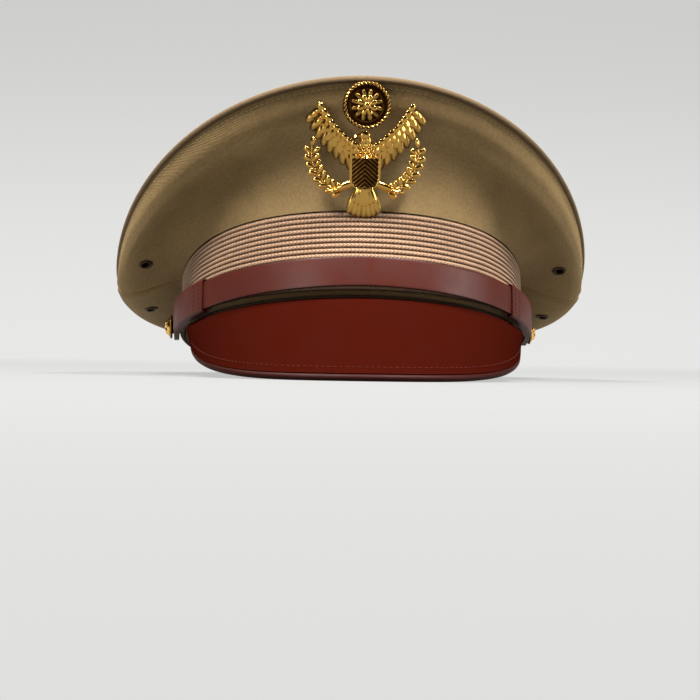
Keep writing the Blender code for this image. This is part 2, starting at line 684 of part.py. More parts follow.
def build_buttons(cap, pierced):
    """Domed side buttons whose posts pass through the strap tabs and the band to a nut inside."""
    seat = STRAP_OUTER_OUTSIDE - STRAP_SETTLE + CLEARANCE
    post_end = FLANGE_INSIDE - seat
    dome = [(0.0, BUTTON_SHANK_LENGTH + BUTTON_RIM + BUTTON_DOME)]
    for i in range(1, 7):
        turn = math.pi / 2 * i / 6
        dome.append((BUTTON_RADIUS * math.sin(turn),
                     BUTTON_SHANK_LENGTH + BUTTON_RIM + BUTTON_DOME * math.cos(turn)))
    profile = dome + [(BUTTON_RADIUS, BUTTON_SHANK_LENGTH), (BUTTON_SHANK_RADIUS, BUTTON_SHANK_LENGTH),
                      (BUTTON_SHANK_RADIUS, 0.0), (POST_RADIUS, 0.0), (POST_RADIUS, post_end),
                      (0.0, post_end)]
    nut_low = FLANGE_INSIDE
    nut_high = FRAME_INSIDE - CLEARANCE
    bore = POST_RADIUS + CLEARANCE
    nut = [(bore, nut_high), (NUT_RADIUS, nut_high), (NUT_RADIUS, nut_low), (bore, nut_low)]
    for side, side_name in ((-1, "left"), (1, "right")):
        direction = Vector((side, 0.0, 0.0))
        at = Vector((side * (HEAD_WIDTH / 2 + seat), 0.0, BUTTON_HEIGHT))
        button = add_turned("side_button_" + side_name, profile, 16, cap, GILT)
        stand_along(button, at, direction)
        holder = add_turned("button_nut_" + side_name, nut, 12, cap, GILT, closed=True)
        stand_along(holder, Vector((side * HEAD_WIDTH / 2, 0.0, BUTTON_HEIGHT)), direction)
        name = "button_hole_" + side_name
        cutter = add_cutter(name, rod_mesh(name, POST_RADIUS + POST_PLAY, post_end, BUTTON_SHANK_LENGTH), cap)
        stand_along(cutter, at, direction)
        for obj in pierced:
            combine(obj, cutter, "DIFFERENCE")


def badge_frame():
    """Where the badge stands: its middle, its upright direction and the way it faces."""
    samples = [quarter_point(0.0, share / 40) for share in range(41)]
    upright = quarter_point(0.0, 0.92) - quarter_point(0.0, 0.05)
    upright.normalize()
    facing = upright.cross(Vector((1.0, 0.0, 0.0))) * -1.0
    if facing.y > 0.0:
        facing = -facing
    middle = quarter_point(0.0, BADGE_CENTRE_SHARE)
    bulge = max((point - middle).dot(facing) for point in samples)
    rise = bulge + CLOTH_THICKNESS / 2 + BADGE_STANDOFF + LOBE_THICKNESS
    return middle + facing * rise, upright, facing, rise


def add_lobe(bm, start, end, half_width, half_thickness):
    """A flat feather or leaf from start to end near the badge's own plane, laid a little apart in height."""
    run = end - start
    laid = len(bm.verts) * LOBE_LAY % 1.0 - 0.5
    height = half_thickness * 0.5 * laid
    size = Matrix.Diagonal((run.length / 2, half_width, half_thickness, 1.0))
    turn = Matrix.Rotation(math.atan2(run.y, run.x), 4, "Z")
    middle = (start + end) / 2
    place = Matrix.Translation((middle.x, middle.y, height)) @ turn @ size
    bmesh.ops.create_uvsphere(bm, u_segments=6, v_segments=4, radius=1.0, matrix=place)


def bend_badge(bm):
    for vert in bm.verts:
        vert.co.z -= vert.co.x ** 2 / (2 * BADGE_CURVE_RADIUS)


def badge_wing(bm, side):
    """A raised wing: an arm from shoulder to tip, with feathers hanging from it."""
    shoulder = Vector((side * 0.07 * BADGE_WIDTH, 0.05 * BADGE_HEIGHT))
    tip = Vector((side * 0.43 * BADGE_WIDTH, 0.30 * BADGE_HEIGHT))
    add_lobe(bm, shoulder * 0.6, tip, 0.050 * BADGE_HEIGHT, LOBE_THICKNESS * 1.15)
    feathers = 5
    for i in range(feathers):
        share = i / (feathers - 1)
        root = shoulder.lerp(tip, 0.10 + 0.72 * share)
        length = mix(0.30, 0.20, share) * BADGE_HEIGHT
        lean = mix(math.radians(-98.0), math.radians(-62.0), share)
        end = root + Vector((side * math.cos(lean), math.sin(lean))) * length
        add_lobe(bm, root - (end - root) * 0.15, end, 0.038 * BADGE_WIDTH, LOBE_THICKNESS * 0.9)


def badge_sprig(bm, side):
    """A leafy sprig that curves up beside the tail, held by a leg from the body."""
    hip = Vector((side * 0.02 * BADGE_WIDTH, -0.24 * BADGE_HEIGHT))
    claw = Vector((side * 0.24 * BADGE_WIDTH, -0.30 * BADGE_HEIGHT))
    add_lobe(bm, hip, claw, 0.022 * BADGE_HEIGHT, LOBE_THICKNESS)
    centre = Vector((side * 0.10 * BADGE_WIDTH, -0.02 * BADGE_HEIGHT))
    reach = 0.31 * BADGE_HEIGHT
    stations = 4
    points = []
    for i in range(stations):
        turn = mix(math.radians(-72.0), math.radians(-2.0), i / (stations - 1))
        points.append(centre + Vector((side * math.cos(turn), math.sin(turn))) * reach)
    for i in range(stations - 1):
        run = points[i + 1] - points[i]
        add_lobe(bm, points[i] - run * 0.25, points[i + 1] + run * 0.25, 0.012 * BADGE_HEIGHT,
                 LOBE_THICKNESS * 0.8)
        across = Vector((-run.y, run.x)).normalized()
        for way in (-1, 1):
            leaf = run.normalized() * 0.055 * BADGE_HEIGHT + across * way * 0.055 * BADGE_HEIGHT
            add_lobe(bm, points[i] - leaf * 0.4, points[i] + leaf, 0.018 * BADGE_HEIGHT, LOBE_THICKNESS * 0.7)


def build_badge(cap, front, stay):
    middle, upright, facing, rise = badge_frame()
    body = bmesh.new()
    add_lobe(body, Vector((0.0, -0.34 * BADGE_HEIGHT)), Vector((0.0, 0.16 * BADGE_HEIGHT)),
             0.115 * BADGE_WIDTH, LOBE_THICKNESS * 1.3)
    bend_badge(body)
    bird = add_part("badge_bird", to_mesh(body, "badge_bird"), cap, GILT)
    relief = bmesh.new()
    for side in (-1, 1):
        badge_wing(relief, side)
        badge_sprig(relief, side)
    for i in range(-2, 3):
        root = Vector((0.010 * i * BADGE_WIDTH, -0.19 * BADGE_HEIGHT))
        end = Vector((0.062 * i * BADGE_WIDTH, (-0.50 + 0.012 * i * i) * BADGE_HEIGHT))
        add_lobe(relief, root, end, 0.040 * BADGE_WIDTH, LOBE_THICKNESS)
    add_lobe(relief, Vector((0.0, -0.05 * BADGE_HEIGHT)), Vector((0.0, 0.44 * BADGE_HEIGHT)),
             0.060 * BADGE_WIDTH, LOBE_THICKNESS)
    bend_badge(relief)
    feathers = add_cutter("badge_relief", to_mesh(relief, "badge_relief"), cap)
    union = combine(bird, feathers, "UNION")
    union.use_self = True
    for obj in (bird, feathers):
        stand_along(obj, middle, facing, upright)

    front_face = LOBE_THICKNESS * 1.3 + CLEARANCE
    disc_at = 0.5 * BADGE_HEIGHT - DISC_RADIUS - DISC_RIM_RADIUS
    rim = DISC_RADIUS
    half = DISC_THICKNESS / 2
    profile = [(0.0, DISC_THICKNESS), (rim - 1.6 * DISC_RIM_RADIUS, DISC_THICKNESS)]
    for i in range(5):
        turn = math.pi / 2 - math.pi / 2 * i / 2
        profile.append((rim + DISC_RIM_RADIUS * math.cos(turn), half + DISC_RIM_RADIUS * math.sin(turn)))
    profile.append((0.0, half - DISC_RIM_RADIUS))
    disc = add_turned("badge_disc", profile, 18, cap, GILT)
    lift = front_face + DISC_RIM_RADIUS - half
    stand_along(disc, middle + upright * disc_at + facing * lift, facing, upright)

    outline = bpy.data.curves.new("badge_breast_shield", "CURVE")
    outline.dimensions = "2D"
    outline.fill_mode = "BOTH"
    outline.extrude = BREAST_SHIELD_THICKNESS / 2
    wide = BREAST_SHIELD_WIDTH / 2
    tall = BREAST_SHIELD_HEIGHT / 2
    points = [(-wide, tall), (0.0, tall * 0.9), (wide, tall)]
    for i in range(7):
        turn = math.pi * i / 6
        points.append((wide * math.cos(turn), -tall * 0.15 - tall * 0.85 * math.sin(turn) ** 0.7))
    spline = outline.splines.new("POLY")
    spline.points.add(len(points) - 1)
    for target, (x, y) in zip(spline.points, points):
        target.co = (x, y, 0.0, 1.0)
    spline.use_cyclic_u = True
    shield = add_part("badge_breast_shield", outline, cap, GILT)
    shield_lift = front_face + BREAST_SHIELD_THICKNESS / 2
    stand_along(shield, middle - upright * 0.16 * BADGE_HEIGHT + facing * shield_lift, facing, upright)

    back = -LOBE_THICKNESS - CLEARANCE
    nut_face = -(rise + CLOTH_THICKNESS / 2 + STAY_THICKNESS + 3 * CLEARANCE)
    post_tip = nut_face - BADGE_NUT_THICKNESS
    post = add_part("badge_post", rod_mesh("badge_post", BADGE_POST_RADIUS, post_tip, back * 1.3), cap, GILT)
    stand_along(post, middle, facing, upright)
    bore = BADGE_POST_RADIUS + CLEARANCE
    collar = BADGE_NUT_RADIUS * 0.5
    nut_profile = [(bore, nut_face), (BADGE_NUT_RADIUS, nut_face),
                   (BADGE_NUT_RADIUS, nut_face - BADGE_NUT_THICKNESS * 0.4),
                   (collar, nut_face - BADGE_NUT_THICKNESS * 0.6), (collar, post_tip), (bore, post_tip)]
    nut = add_turned("badge_nut", nut_profile, 20, cap, GILT, closed=True)
    stand_along(nut, middle, facing, upright)
    cutter = add_cutter("badge_post_hole", rod_mesh("badge_post_hole", bore + CLEARANCE, post_tip, back), cap)
    stand_along(cutter, middle, facing, upright)
    combine(front, cutter, "DIFFERENCE")
    combine(stay, cutter, "DIFFERENCE")


def stand_on_table(cap):
    """Tilt the cap onto its visor and band, with the origin under the middle of its box."""
    cap.rotation_euler = (-TILT, 0.0, 0.0)
    bpy.context.view_layer.update()
    depsgraph = bpy.context.evaluated_depsgraph_get()
    corners = []
    for obj in bpy.data.collections[PARTS].objects:
        if obj.type != "EMPTY":
            shape = obj.evaluated_get(depsgraph)
            mesh = shape.to_mesh()
            corners.extend(shape.matrix_world @ vert.co for vert in mesh.vertices)
            shape.to_mesh_clear()
    low = [min(point[axis] for point in corners) for axis in range(3)]
    high = [max(point[axis] for point in corners) for axis in range(3)]
    cap.location = (-(low[0] + high[0]) / 2, -(low[1] + high[1]) / 2, -low[2])
    bpy.context.view_layer.update()


def main():
    clear_scene()
    cap = empty("cap", (0.0, 0.0, 0.0))
    frame, braid = build_band(cap)
    front, left, right, stay = build_crown(cap)
    build_eyelets(cap, front, left, right)
    build_visor(cap)
    tabs = build_strap(cap)
    build_buttons(cap, [frame, braid] + tabs)
    build_badge(cap, front, stay)
    stand_on_table(cap)


main()
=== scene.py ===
import json
import math

import bpy
from mathutils import Matrix, Vector, noise


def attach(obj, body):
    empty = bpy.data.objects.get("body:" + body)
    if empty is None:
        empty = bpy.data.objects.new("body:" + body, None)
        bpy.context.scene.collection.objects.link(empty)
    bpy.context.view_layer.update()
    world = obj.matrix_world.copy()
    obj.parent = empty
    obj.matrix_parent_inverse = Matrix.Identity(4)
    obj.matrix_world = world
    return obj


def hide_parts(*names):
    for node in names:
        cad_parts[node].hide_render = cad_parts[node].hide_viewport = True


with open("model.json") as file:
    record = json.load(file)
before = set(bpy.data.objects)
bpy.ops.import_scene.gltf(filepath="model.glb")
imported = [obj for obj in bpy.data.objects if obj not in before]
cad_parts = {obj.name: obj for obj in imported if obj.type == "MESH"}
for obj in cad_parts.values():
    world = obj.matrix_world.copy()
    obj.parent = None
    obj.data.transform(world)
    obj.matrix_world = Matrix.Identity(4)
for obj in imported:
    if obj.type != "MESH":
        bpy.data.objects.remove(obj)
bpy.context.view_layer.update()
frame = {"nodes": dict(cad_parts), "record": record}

bl_info = {
    "name": "Peaked Service Cap",
    "version": (1, 0, 0),
    "blender": (4, 5, 0),
    "location": "3D View > Sidebar > Cap",
    "description": "Cloth, braid, leather and gilt pieces that dress the solids of a peaked service cap",
    "category": "Object",
}

# Sizes of the solids that the pieces are fitted to, in metres and radians
HEAD_LENGTH = 0.199
HEAD_WIDTH = 0.1665
CLEARANCE = 0.0003
SWEATBAND_HEIGHT = 0.030
BAND_HEIGHT_FRONT = 0.042
BAND_HEIGHT_REAR = 0.0285
BAND_TURN = 1.35
RIM_WIDTH = 0.248
RIM_LENGTH = 0.282
RIM_OVERHANG_FRONT = 0.024
RIM_HEIGHT_FRONT = 0.1010
RIM_HEIGHT_REAR = 0.031
RIM_SOFTNESS = 0.12
CROWN_HEIGHT_MIDDLE = 0.084
QUARTER_RISE = (math.radians(88.0), math.radians(-25.0))
QUARTER_RIM = (math.radians(62.0), math.radians(100.0))
QUARTER_FOOT_PULL = (0.026, 0.022)
QUARTER_RIM_PULL = (0.030, 0.013)
QUARTER_TURN = 1.30
QUARTER_FOOT_LIFT = 0.0008
SEAM_GAP = 0.0004
WELT_RADIUS = 0.0017
LINING_DROP = 0.006
LINING_FOOT_LIFT = 0.0009
LINING_FULLNESS = 2.5
FILM_DROP = 0.0022
FILM_LENGTH = 0.130
FILM_WIDTH = 0.100
VISOR_FRONT = 0.1341
VISOR_WIDTH = 0.1655
VISOR_END_DEPTH = 0.038
VISOR_SPAN = math.radians(68.0)
VISOR_END = math.radians(88.0)
VISOR_CORNER = 5.5
VISOR_ROOT_REACH = 0.0013
VISOR_ROOT_DROP = 0.0025
VISOR_SHOULDER_REACH = 0.0061
VISOR_SHOULDER_DROP = 0.0038
BINDING_RADIUS = 0.0017
STRAP_WIDTH = 0.014
STRAP_HEIGHT_FRONT = 0.0115
STRAP_SAG = 1.6
STRAP_SETTLE = 0.0009
KEEPER_START = math.radians(55.0)
KEEPER_END = math.radians(78.0)
BUTTON_HEIGHT = 0.0054
BADGE_HEIGHT = 0.0675
BADGE_CURVE_RADIUS = 0.140
BADGE_CENTRE_SHARE = 0.525
BADGE_STANDOFF = 0.0025
SHIELD_WIDTH = 0.0150
SHIELD_HEIGHT = 0.0165

# Layers of the band and strap, as distances outwards from the head opening
SWEATBAND_MIDDLE = 0.0005
LINING_EDGE = 0.0019
FRAME_OUTSIDE = 0.0046
BRAID_OUTSIDE = 0.0067
PIPING_CENTRE = 0.0062
PIPING_RISE = 0.0019
KEEPER_INSIDE = 0.00785
STRAP_INNER = 0.00955
STRAP_OUTER = 0.01085
KEEPER_OUTSIDE = 0.01255
BUTTON_SEAT = 0.01075
BRAID_FOOT = PIPING_RISE + 0.0016
PIPING_RADIUS = 0.0013

# Thicknesses of the cloth, braid, leather and film
CLOTH_THICKNESS = 0.0010
LINING_THICKNESS = 0.0006
BRAID_THICKNESS = 0.0009
VISOR_TOP_THICKNESS = 0.0009
VISOR_UNDER_THICKNESS = 0.0007
STRAP_THICKNESS = 0.0010
KEEPER_THICKNESS = 0.0007
SWEATBAND_THICKNESS = 0.0010
BOW_THICKNESS = 0.0008
FILM_THICKNESS = 0.0005

# Distances from the middle of the visor's core to its leathers and its stitching
VISOR_TOP_RISE = 0.00135
VISOR_UNDER_DROP = 0.00125
VISOR_STITCH_RISE = 0.00185
VISOR_STITCH_END = math.radians(80.0)

# Shaping of the crown's cloth at its rim, wire and seams; stations are angles from a seam
RIM_TUCK = 0.0010
WIRE_SWELL = 0.00045
SEAM_DEPTH = 0.0010
SEAM_RIDGE = 0.0004
SEAM_CLOSE_STATIONS = (0.0, 0.005, 0.010, 0.016, 0.023, 0.031, 0.040)
SEAM_CLEAR = 0.052
EYELET_HOLE = 0.0027
CLOTH_STITCH_LIFT = 0.0006
LEATHER_STITCH_LIFT = 0.00002

# Keepers, sweatband, its bow and the lining's pleats
KEEPER_CORNER = 0.0014
KEEPER_PLAY = 0.0009
KEEPER_STITCH_INSETS = (0.0030, 0.0085)
KEEPER_STITCH_PITCH = 0.0023
KEEPER_STITCH_LENGTH = 0.0016
LEATHER_EDGE_ANGLE = math.radians(50.0)
STRAP_EDGE = 0.00022
KEEPER_EDGE = 0.00018
STRAP_CROWN = 0.00012
SWEATBAND_BELOW_BAND_TOP = 0.003
SWEATBAND_HOLLOW = 0.00025
SWEATBAND_ROWS = (("lower", 0.0035), ("upper", 0.0215))
BOW_HALF_LENGTH = 0.024
BOW_HALF_WIDTH = 0.0055
BOW_HEIGHT = 0.012
LINING_PLEATS = 28.0
LINING_PLEAT_DEPTH = 0.0007
TAPE_RADIUS = 0.0012

# Stage: lights as name, place, size and power; the backdrop's bend; the camera
LIGHT_AIM = (0.0, -0.05, 0.07)
LIGHTS = (
    ("right_key", (0.55, -0.54, 1.24), 0.4, 35.0),
    ("left_key", (-0.55, -0.54, 1.24), 0.4, 31.0),
    ("right_softbox", (1.15, -0.34, 0.26), 0.5, 3.6),
    ("left_softbox", (-0.80, -1.04, 0.24), 0.4, 2.8),
    ("back_light", (-0.55, 0.30, 1.35), 0.8, 12.0),
)
WORLD_FILL = 0.022
WORLD_SEEN = 0.62
SWEEP_START = 1.4
SWEEP_RADIUS = 0.8
PAPER_NEAR = (0.86, 0.86, 0.84, 1.0)
PAPER_FAR = (1.22, 1.22, 1.20, 1.0)
PAPER_HIGH = (0.93, 0.93, 0.91, 1.0)
PAPER_SEEN = 0.6
PAPER_MIRRORED = 0.28
FRONT_BOUNCE = 0.2
REAR_BOUNCE = (0.36, 0.36, 0.35, 1.0)
CAMERA_PLACE = (-0.0576, -1.0985, 0.0145)
CAMERA_TURN = math.radians(3.0)
CAMERA_ROLL = math.radians(0.9)
CAMERA_LENS = 105.5


def axes(x, y, z):
    """A matrix whose columns are three directions."""
    return Matrix((x, y, z)).transposed().to_4x4()


# The cap's own frame: its origin in the middle of the head opening, Z up out of the crown
OPENING = next(m for m in frame["record"]["mounts"] if m["name"] == "head_opening")
UP = -Vector(OPENING["axis"]).normalized()
RIGHT = Vector((1.0, 0.0, 0.0))
CAP = Matrix.Translation(OPENING["pos_m"]) @ axes(RIGHT, UP.cross(RIGHT), UP)
TILT = math.acos(UP.z)
BAND_BACK = HEAD_LENGTH / 2 + FRAME_OUTSIDE


def shade(red, green, blue):
    """A colour as seen on screen, 0 to 255, in Blender's linear values."""
    linear = []
    for value in (red, green, blue):
        part = value / 255.0
        linear.append(part / 12.92 if part <= 0.04045 else ((part + 0.055) / 1.055) ** 2.4)
    return (*linear, 1.0)


def dimmed(base, share):
    return tuple(value * share for value in base[:3]) + (1.0,)


def colour(name, description, default):
    return bpy.props.FloatVectorProperty(
        name=name, description=description, subtype="COLOR", size=4, min=0.0, max=1.0, default=default)


def length(name, description, default):
    return bpy.props.FloatProperty(
        name=name, description=description, default=default, min=0.0, precision=5, unit="LENGTH")


class CapTrim(bpy.types.PropertyGroup):
    """Sizes of the trim: ribs, stitches, weave and the cloth's ripple."""
    ribs: bpy.props.IntProperty(
        name="Braid ribs", description="Ribs over the height of the braid at the front", default=15, min=4)
    rib_depth: length("Rib depth", "Depth of the grooves between the braid's ribs", 0.00075)
    braid_pitch: length("Braid strand", "Length of one plaited strand along a rib", 0.0021)
    stitch_length: length("Stitch length", "Length of one visible stitch", 0.0020)
    stitch_pitch: length("Stitch pitch", "Distance from stitch to stitch", 0.0029)
    thread_radius: length("Thread radius", "Half the thickness of the sewing thread", 0.00026)
    ripple: length("Cloth ripple", "How far the crown's cloth swells and sinks", 0.0011)
    weave_pitch: length("Twill pitch", "Distance from rib to rib of the twill", 0.00064)
    visor_stitch_inset: length("Visor stitch inset", "Distance of the stitching from the visor edge", 0.0050)
    welt_stitch_inset: length("Welt stitch inset", "Distance of the stitching from the crown's welt", 0.0043)


class CapColours(bpy.types.PropertyGroup):
    """Colours of the cloth, leather, metal and stage."""
    khaki_light: colour("Khaki light", "Raised threads of the twill", shade(172, 143, 95))
    khaki_dark: colour("Khaki dark", "Sunken threads of the twill", shade(114, 90, 53))
    piping: colour("Piping", "Welt round the rim and bow of the sweatband", shade(122, 100, 76))
    braid_light: colour("Braid light", "Ridges of the braid", shade(184, 146, 114))
    # The dark braid colour is also painted shade in the grooves between the ribs, besides the darker strands
    # and the braid thread.
    braid_dark: colour("Braid dark", "Grooves of the braid", shade(116, 86, 62))
    visor_russet: colour("Visor russet", "Leather of the visor", shade(54, 12, 5))
    strap_russet: colour("Strap russet", "Leather of the chin strap and keepers", shade(84, 35, 25))
    edge_brown: colour("Edge brown", "Burnished edges of the leather", shade(52, 17, 12))
    sweatband_tan: colour("Sweatband tan", "Leather next to the head", shade(150, 98, 58))
    lining: colour("Lining", "Cloth inside the crown", shade(188, 166, 118))
    gilt: colour("Gilt", "Polished faces of the badge and buttons", shade(246, 194, 100))
    # The deep gilt colour is painted shade in the sunken parts of the badge and buttons.
    gilt_deep: colour("Gilt deep", "Sunken parts of the badge and buttons", shade(58, 29, 6))
    bronze: colour("Bronze", "Vent eyelets", shade(70, 52, 36))
    steel: colour("Steel", "Wire and sleeve inside the rim", shade(150, 150, 152))
    # The board's colour is kept dark as painted shade, for where it shows in the gap under the strap.
    fibre: colour("Fibre", "Stiff board of the band, visor and front", shade(84, 62, 44))
    khaki_thread: colour("Khaki thread", "Stitching on the cloth", shade(204, 180, 130))
    russet_thread: colour("Russet thread", "Stitching on the leather", shade(86, 28, 18))
    floor: colour("Floor", "Floor and backdrop", shade(124, 124, 123))


def trim():
    return bpy.context.scene.cap_trim


def colours():
    return bpy.context.scene.cap_colours


def mix(start, end, share):
    return start + (end - start) * share


def steps(start, end, count):
    return [start + (end - start) * i / count for i in range(count + 1)]


def smooth_step(value):
    value = min(max(value, 0.0), 1.0)
    return value * value * (3.0 - 2.0 * value)


def hump(distance, width):
    return math.exp(-(distance / width) ** 2)


# The cap's surfaces, in the cap's own frame: angle 0 is the front and runs towards +X


def rear_share(angle, turn):
    return math.sin(math.pi / 2 * min(1.0, (1.0 - math.cos(angle)) / turn)) ** 2


def oval(angle, offset, height):
    x = (HEAD_WIDTH / 2 + offset) * math.sin(angle)
    y = -(HEAD_LENGTH / 2 + offset) * math.cos(angle)
    return Vector((x, y, height))


def band_top(angle):
    return mix(BAND_HEIGHT_FRONT, BAND_HEIGHT_REAR, rear_share(angle, BAND_TURN))


def rim_centre():
    return Vector((0.0, RIM_LENGTH / 2 - RIM_OVERHANG_FRONT - HEAD_LENGTH / 2 - BRAID_OUTSIDE, 0.0))


def rim_height(angle):
    ahead = math.cos(angle)
    ramp = (ahead + math.hypot(ahead, RIM_SOFTNESS)) / 2
    return mix(RIM_HEIGHT_REAR, RIM_HEIGHT_FRONT, ramp)


def rim_point(angle):
    x = RIM_WIDTH / 2 * math.sin(angle)
    y = rim_centre().y - RIM_LENGTH / 2 * math.cos(angle)
    return Vector((x, y, rim_height(angle)))


def quarter_foot(angle):
    behind = (FRAME_OUTSIDE + BRAID_OUTSIDE) / 2
    offset = mix(behind, BRAID_OUTSIDE + CLEARANCE, rear_share(angle, QUARTER_TURN))
    return oval(angle, offset, band_top(angle) + QUARTER_FOOT_LIFT)


def quarter_outward(angle):
    out = rim_point(angle) - quarter_foot(angle)
    out.z = 0.0
    return out.normalized()


def rim_tangent(angle):
    lean = mix(*QUARTER_RIM, rear_share(angle, QUARTER_TURN))
    tangent = quarter_outward(angle) * math.cos(lean)
    tangent.z = math.sin(lean)
    return tangent


def quarter_point(angle, share):
    """The crown's side cloth, from the top of the band to the welt."""
    back = rear_share(angle, QUARTER_TURN)
    rise = mix(*QUARTER_RISE, back)
    start = quarter_foot(angle)
    tangent = rim_tangent(angle)
    end = rim_point(angle) - tangent * (WELT_RADIUS + CLEARANCE)
    pull = quarter_outward(angle) * math.cos(rise)
    pull.z = math.sin(rise)
    first = start + pull * mix(*QUARTER_FOOT_PULL, back)
    second = end - tangent * mix(*QUARTER_RIM_PULL, back)
    rest = 1.0 - share
    return (start * rest ** 3 + first * 3 * rest ** 2 * share
            + second * 3 * rest * share ** 2 + end * share ** 3)


def top_point(angle, share):
    """The crown's top cloth, from its middle to the welt."""
    out = rim_point(angle) - rim_centre()
    edge = rim_height(angle)
    run = Vector((out.x, out.y, 2.0 * (edge - CROWN_HEIGHT_MIDDLE))).normalized()
    point = rim_centre() + Vector((out.x, out.y, 0.0)) * share
    point.z = edge + (CROWN_HEIGHT_MIDDLE - edge) * (1.0 - share * share)
    return point - run * (WELT_RADIUS + CLEARANCE) * share


def lining_point(angle, share):
    edge = oval(angle, LINING_EDGE, 0.0)
    low = band_top(angle) + LINING_FOOT_LIFT
    peak = CROWN_HEIGHT_MIDDLE - LINING_DROP
    return Vector((edge.x * share, edge.y * share, low + (peak - low) * (1.0 - share ** LINING_FULLNESS)))


def visor_edge(turn):
    x = VISOR_WIDTH / 2 * math.sin(turn)
    y = -mix(VISOR_END_DEPTH, VISOR_FRONT, math.cos(turn))
    corner = (1.0 - abs(math.sin(turn)) ** VISOR_CORNER) ** (1.0 / VISOR_CORNER)
    table = (y - BAND_BACK) * math.tan(TILT)
    return Vector((x, y, (table + BINDING_RADIUS / math.cos(TILT)) * corner))


def visor_point(turn, share):
    """The middle of the visor's core, from under the band to the bound edge."""
    root = turn * VISOR_SPAN / (math.pi / 2)
    start = oval(root, FRAME_OUTSIDE + VISOR_ROOT_REACH, -VISOR_ROOT_DROP)
    bend = oval(root, FRAME_OUTSIDE + VISOR_SHOULDER_REACH, -VISOR_SHOULDER_DROP)
    rest = 1.0 - share
    return start * rest ** 2 + bend * 2 * rest * share + visor_edge(turn) * share ** 2


def visor_run(turn):
    step = 0.01
    return (visor_point(turn, 1.0) - visor_point(turn, 1.0 - step)).length / step


def strap_height(angle):
    return mix(STRAP_HEIGHT_FRONT, BUTTON_HEIGHT, (abs(angle) / (math.pi / 2)) ** STRAP_SAG)


def strap_settle(angle):
    return STRAP_SETTLE * smooth_step((abs(angle) - KEEPER_END) / (math.pi / 2 - KEEPER_END))


def surface_frame(place, u, v, step=1e-4):
    """A point of a surface and the direction that across x along gives there."""
    across = place(u + step, v) - place(u - step, v)
    along = place(u, v + step) - place(u, v - step)
    return place(u, v), across.cross(along).normalized()


def moved_out(place, distance):
    """The surface that lies a distance along another one's normal."""
    def moved(u, v):
        point, normal = surface_frame(place, u, v)
        return point + normal * distance
    return moved


# Modelling


def only(obj):
    """Select one object alone and make it active."""
    bpy.ops.object.select_all(action="DESELECT")
    obj.select_set(True)
    bpy.context.view_layer.objects.active = obj


def weld(obj):
    """Merge doubled corners and turn the faces outwards."""
    only(obj)
    bpy.ops.object.mode_set(mode="EDIT")
    bpy.ops.mesh.select_all(action="SELECT")
    bpy.ops.mesh.remove_doubles(threshold=2e-6)
    bpy.ops.mesh.normals_make_consistent(inside=False)
    bpy.ops.object.mode_set(mode="OBJECT")


def apply_modifier(obj, kind, **values):
    modifier = obj.modifiers.new(kind.lower(), kind)
    for key, value in values.items():
        setattr(modifier, key, value)
    only(obj)
    bpy.ops.object.modifier_apply(modifier=modifier.name)


def laid_sheet(name, place, across, along, patch=(1.0, 1.0), frame_matrix=CAP):
    """A grid whose corner (i, j) lies at place(across[i], along[j]); its UV map covers patch metres."""
    columns = len(across) - 1
    rows = len(along) - 1
    bpy.ops.object.select_all(action="DESELECT")
    bpy.ops.mesh.primitive_grid_add(x_subdivisions=columns, y_subdivisions=rows, size=2.0, calc_uvs=True)
    obj = bpy.context.object
    obj.name = name
    obj.data.name = name
    for vert in obj.data.vertices:
        i = round((vert.co.x + 1.0) / 2.0 * columns)
        j = round((vert.co.y + 1.0) / 2.0 * rows)
        vert.co = frame_matrix @ place(across[i], along[j])
    for corner in obj.data.uv_layers.active.data:
        u = across[round(corner.uv[0] * columns)] - across[0]
        v = along[round(corner.uv[1] * rows)] - along[0]
        corner.uv = (u / (across[-1] - across[0]) * patch[0], v / (along[-1] - along[0]) * patch[1])
    weld(obj)
    return obj


def laid_tube(name, path, stations, radius, sides=12, patch=(1.0, 0.01), closed=True, flat=1.0):
    """A cord along path(station); an open one is rounded off at its two ends."""
    step = (stations[-1] - stations[0]) * 1e-4
    last = len(stations) - 1
    caps = 5

    def place(i, turn):
        u = stations[i]
        run = (path(u + step) - path(u - step)).normalized()
        side = run.cross(Vector((0.0, 0.0, 1.0))).normalized()
        up = side.cross(run)
        size = radius
        if not closed:
            near = min(i, last - i)
            if near < caps:
                size = radius * math.sqrt(max(0.0, 1.0 - (1.0 - near / caps) ** 2))
        return path(u) + (side * math.cos(turn) + up * math.sin(turn) * flat) * size

    return laid_sheet(name, place, list(range(last + 1)), steps(0.0, 2 * math.pi, sides), patch)


def turned_mesh(name, profile, count):
    """A mesh turned about its own Z from a profile of (radius, height)."""
    mesh = bpy.data.meshes.new(name)
    edges = [(i, i + 1) for i in range(len(profile) - 1)]
    mesh.from_pydata([(radius, 0.0, height) for radius, height in profile], edges, [])
    obj = bpy.data.objects.new(name, mesh)
    bpy.context.collection.objects.link(obj)
    only(obj)
    bpy.ops.object.mode_set(mode="EDIT")
    bpy.ops.mesh.select_all(action="SELECT")
    bpy.ops.mesh.spin(steps=count, angle=2 * math.pi, center=(0.0, 0.0, 0.0), axis=(0.0, 0.0, 1.0))
    bpy.ops.object.mode_set(mode="OBJECT")
    weld(obj)
    return take_mesh(obj)


def take_mesh(obj):
    """Keep an object's mesh as a shape to copy, and remove the object."""
    mesh = obj.data
    bpy.data.objects.remove(obj)
    return mesh


def bead_mesh(segments=8, rings=6):
    """A small round bead with its poles along X."""
    bpy.ops.object.select_all(action="DESELECT")
    bpy.ops.mesh.primitive_uv_sphere_add(segments=segments, ring_count=rings, radius=1.0)
    obj = bpy.context.object
    for vert in obj.data.vertices:
        vert.co = (vert.co.z, vert.co.x, vert.co.y)
    return take_mesh(obj)


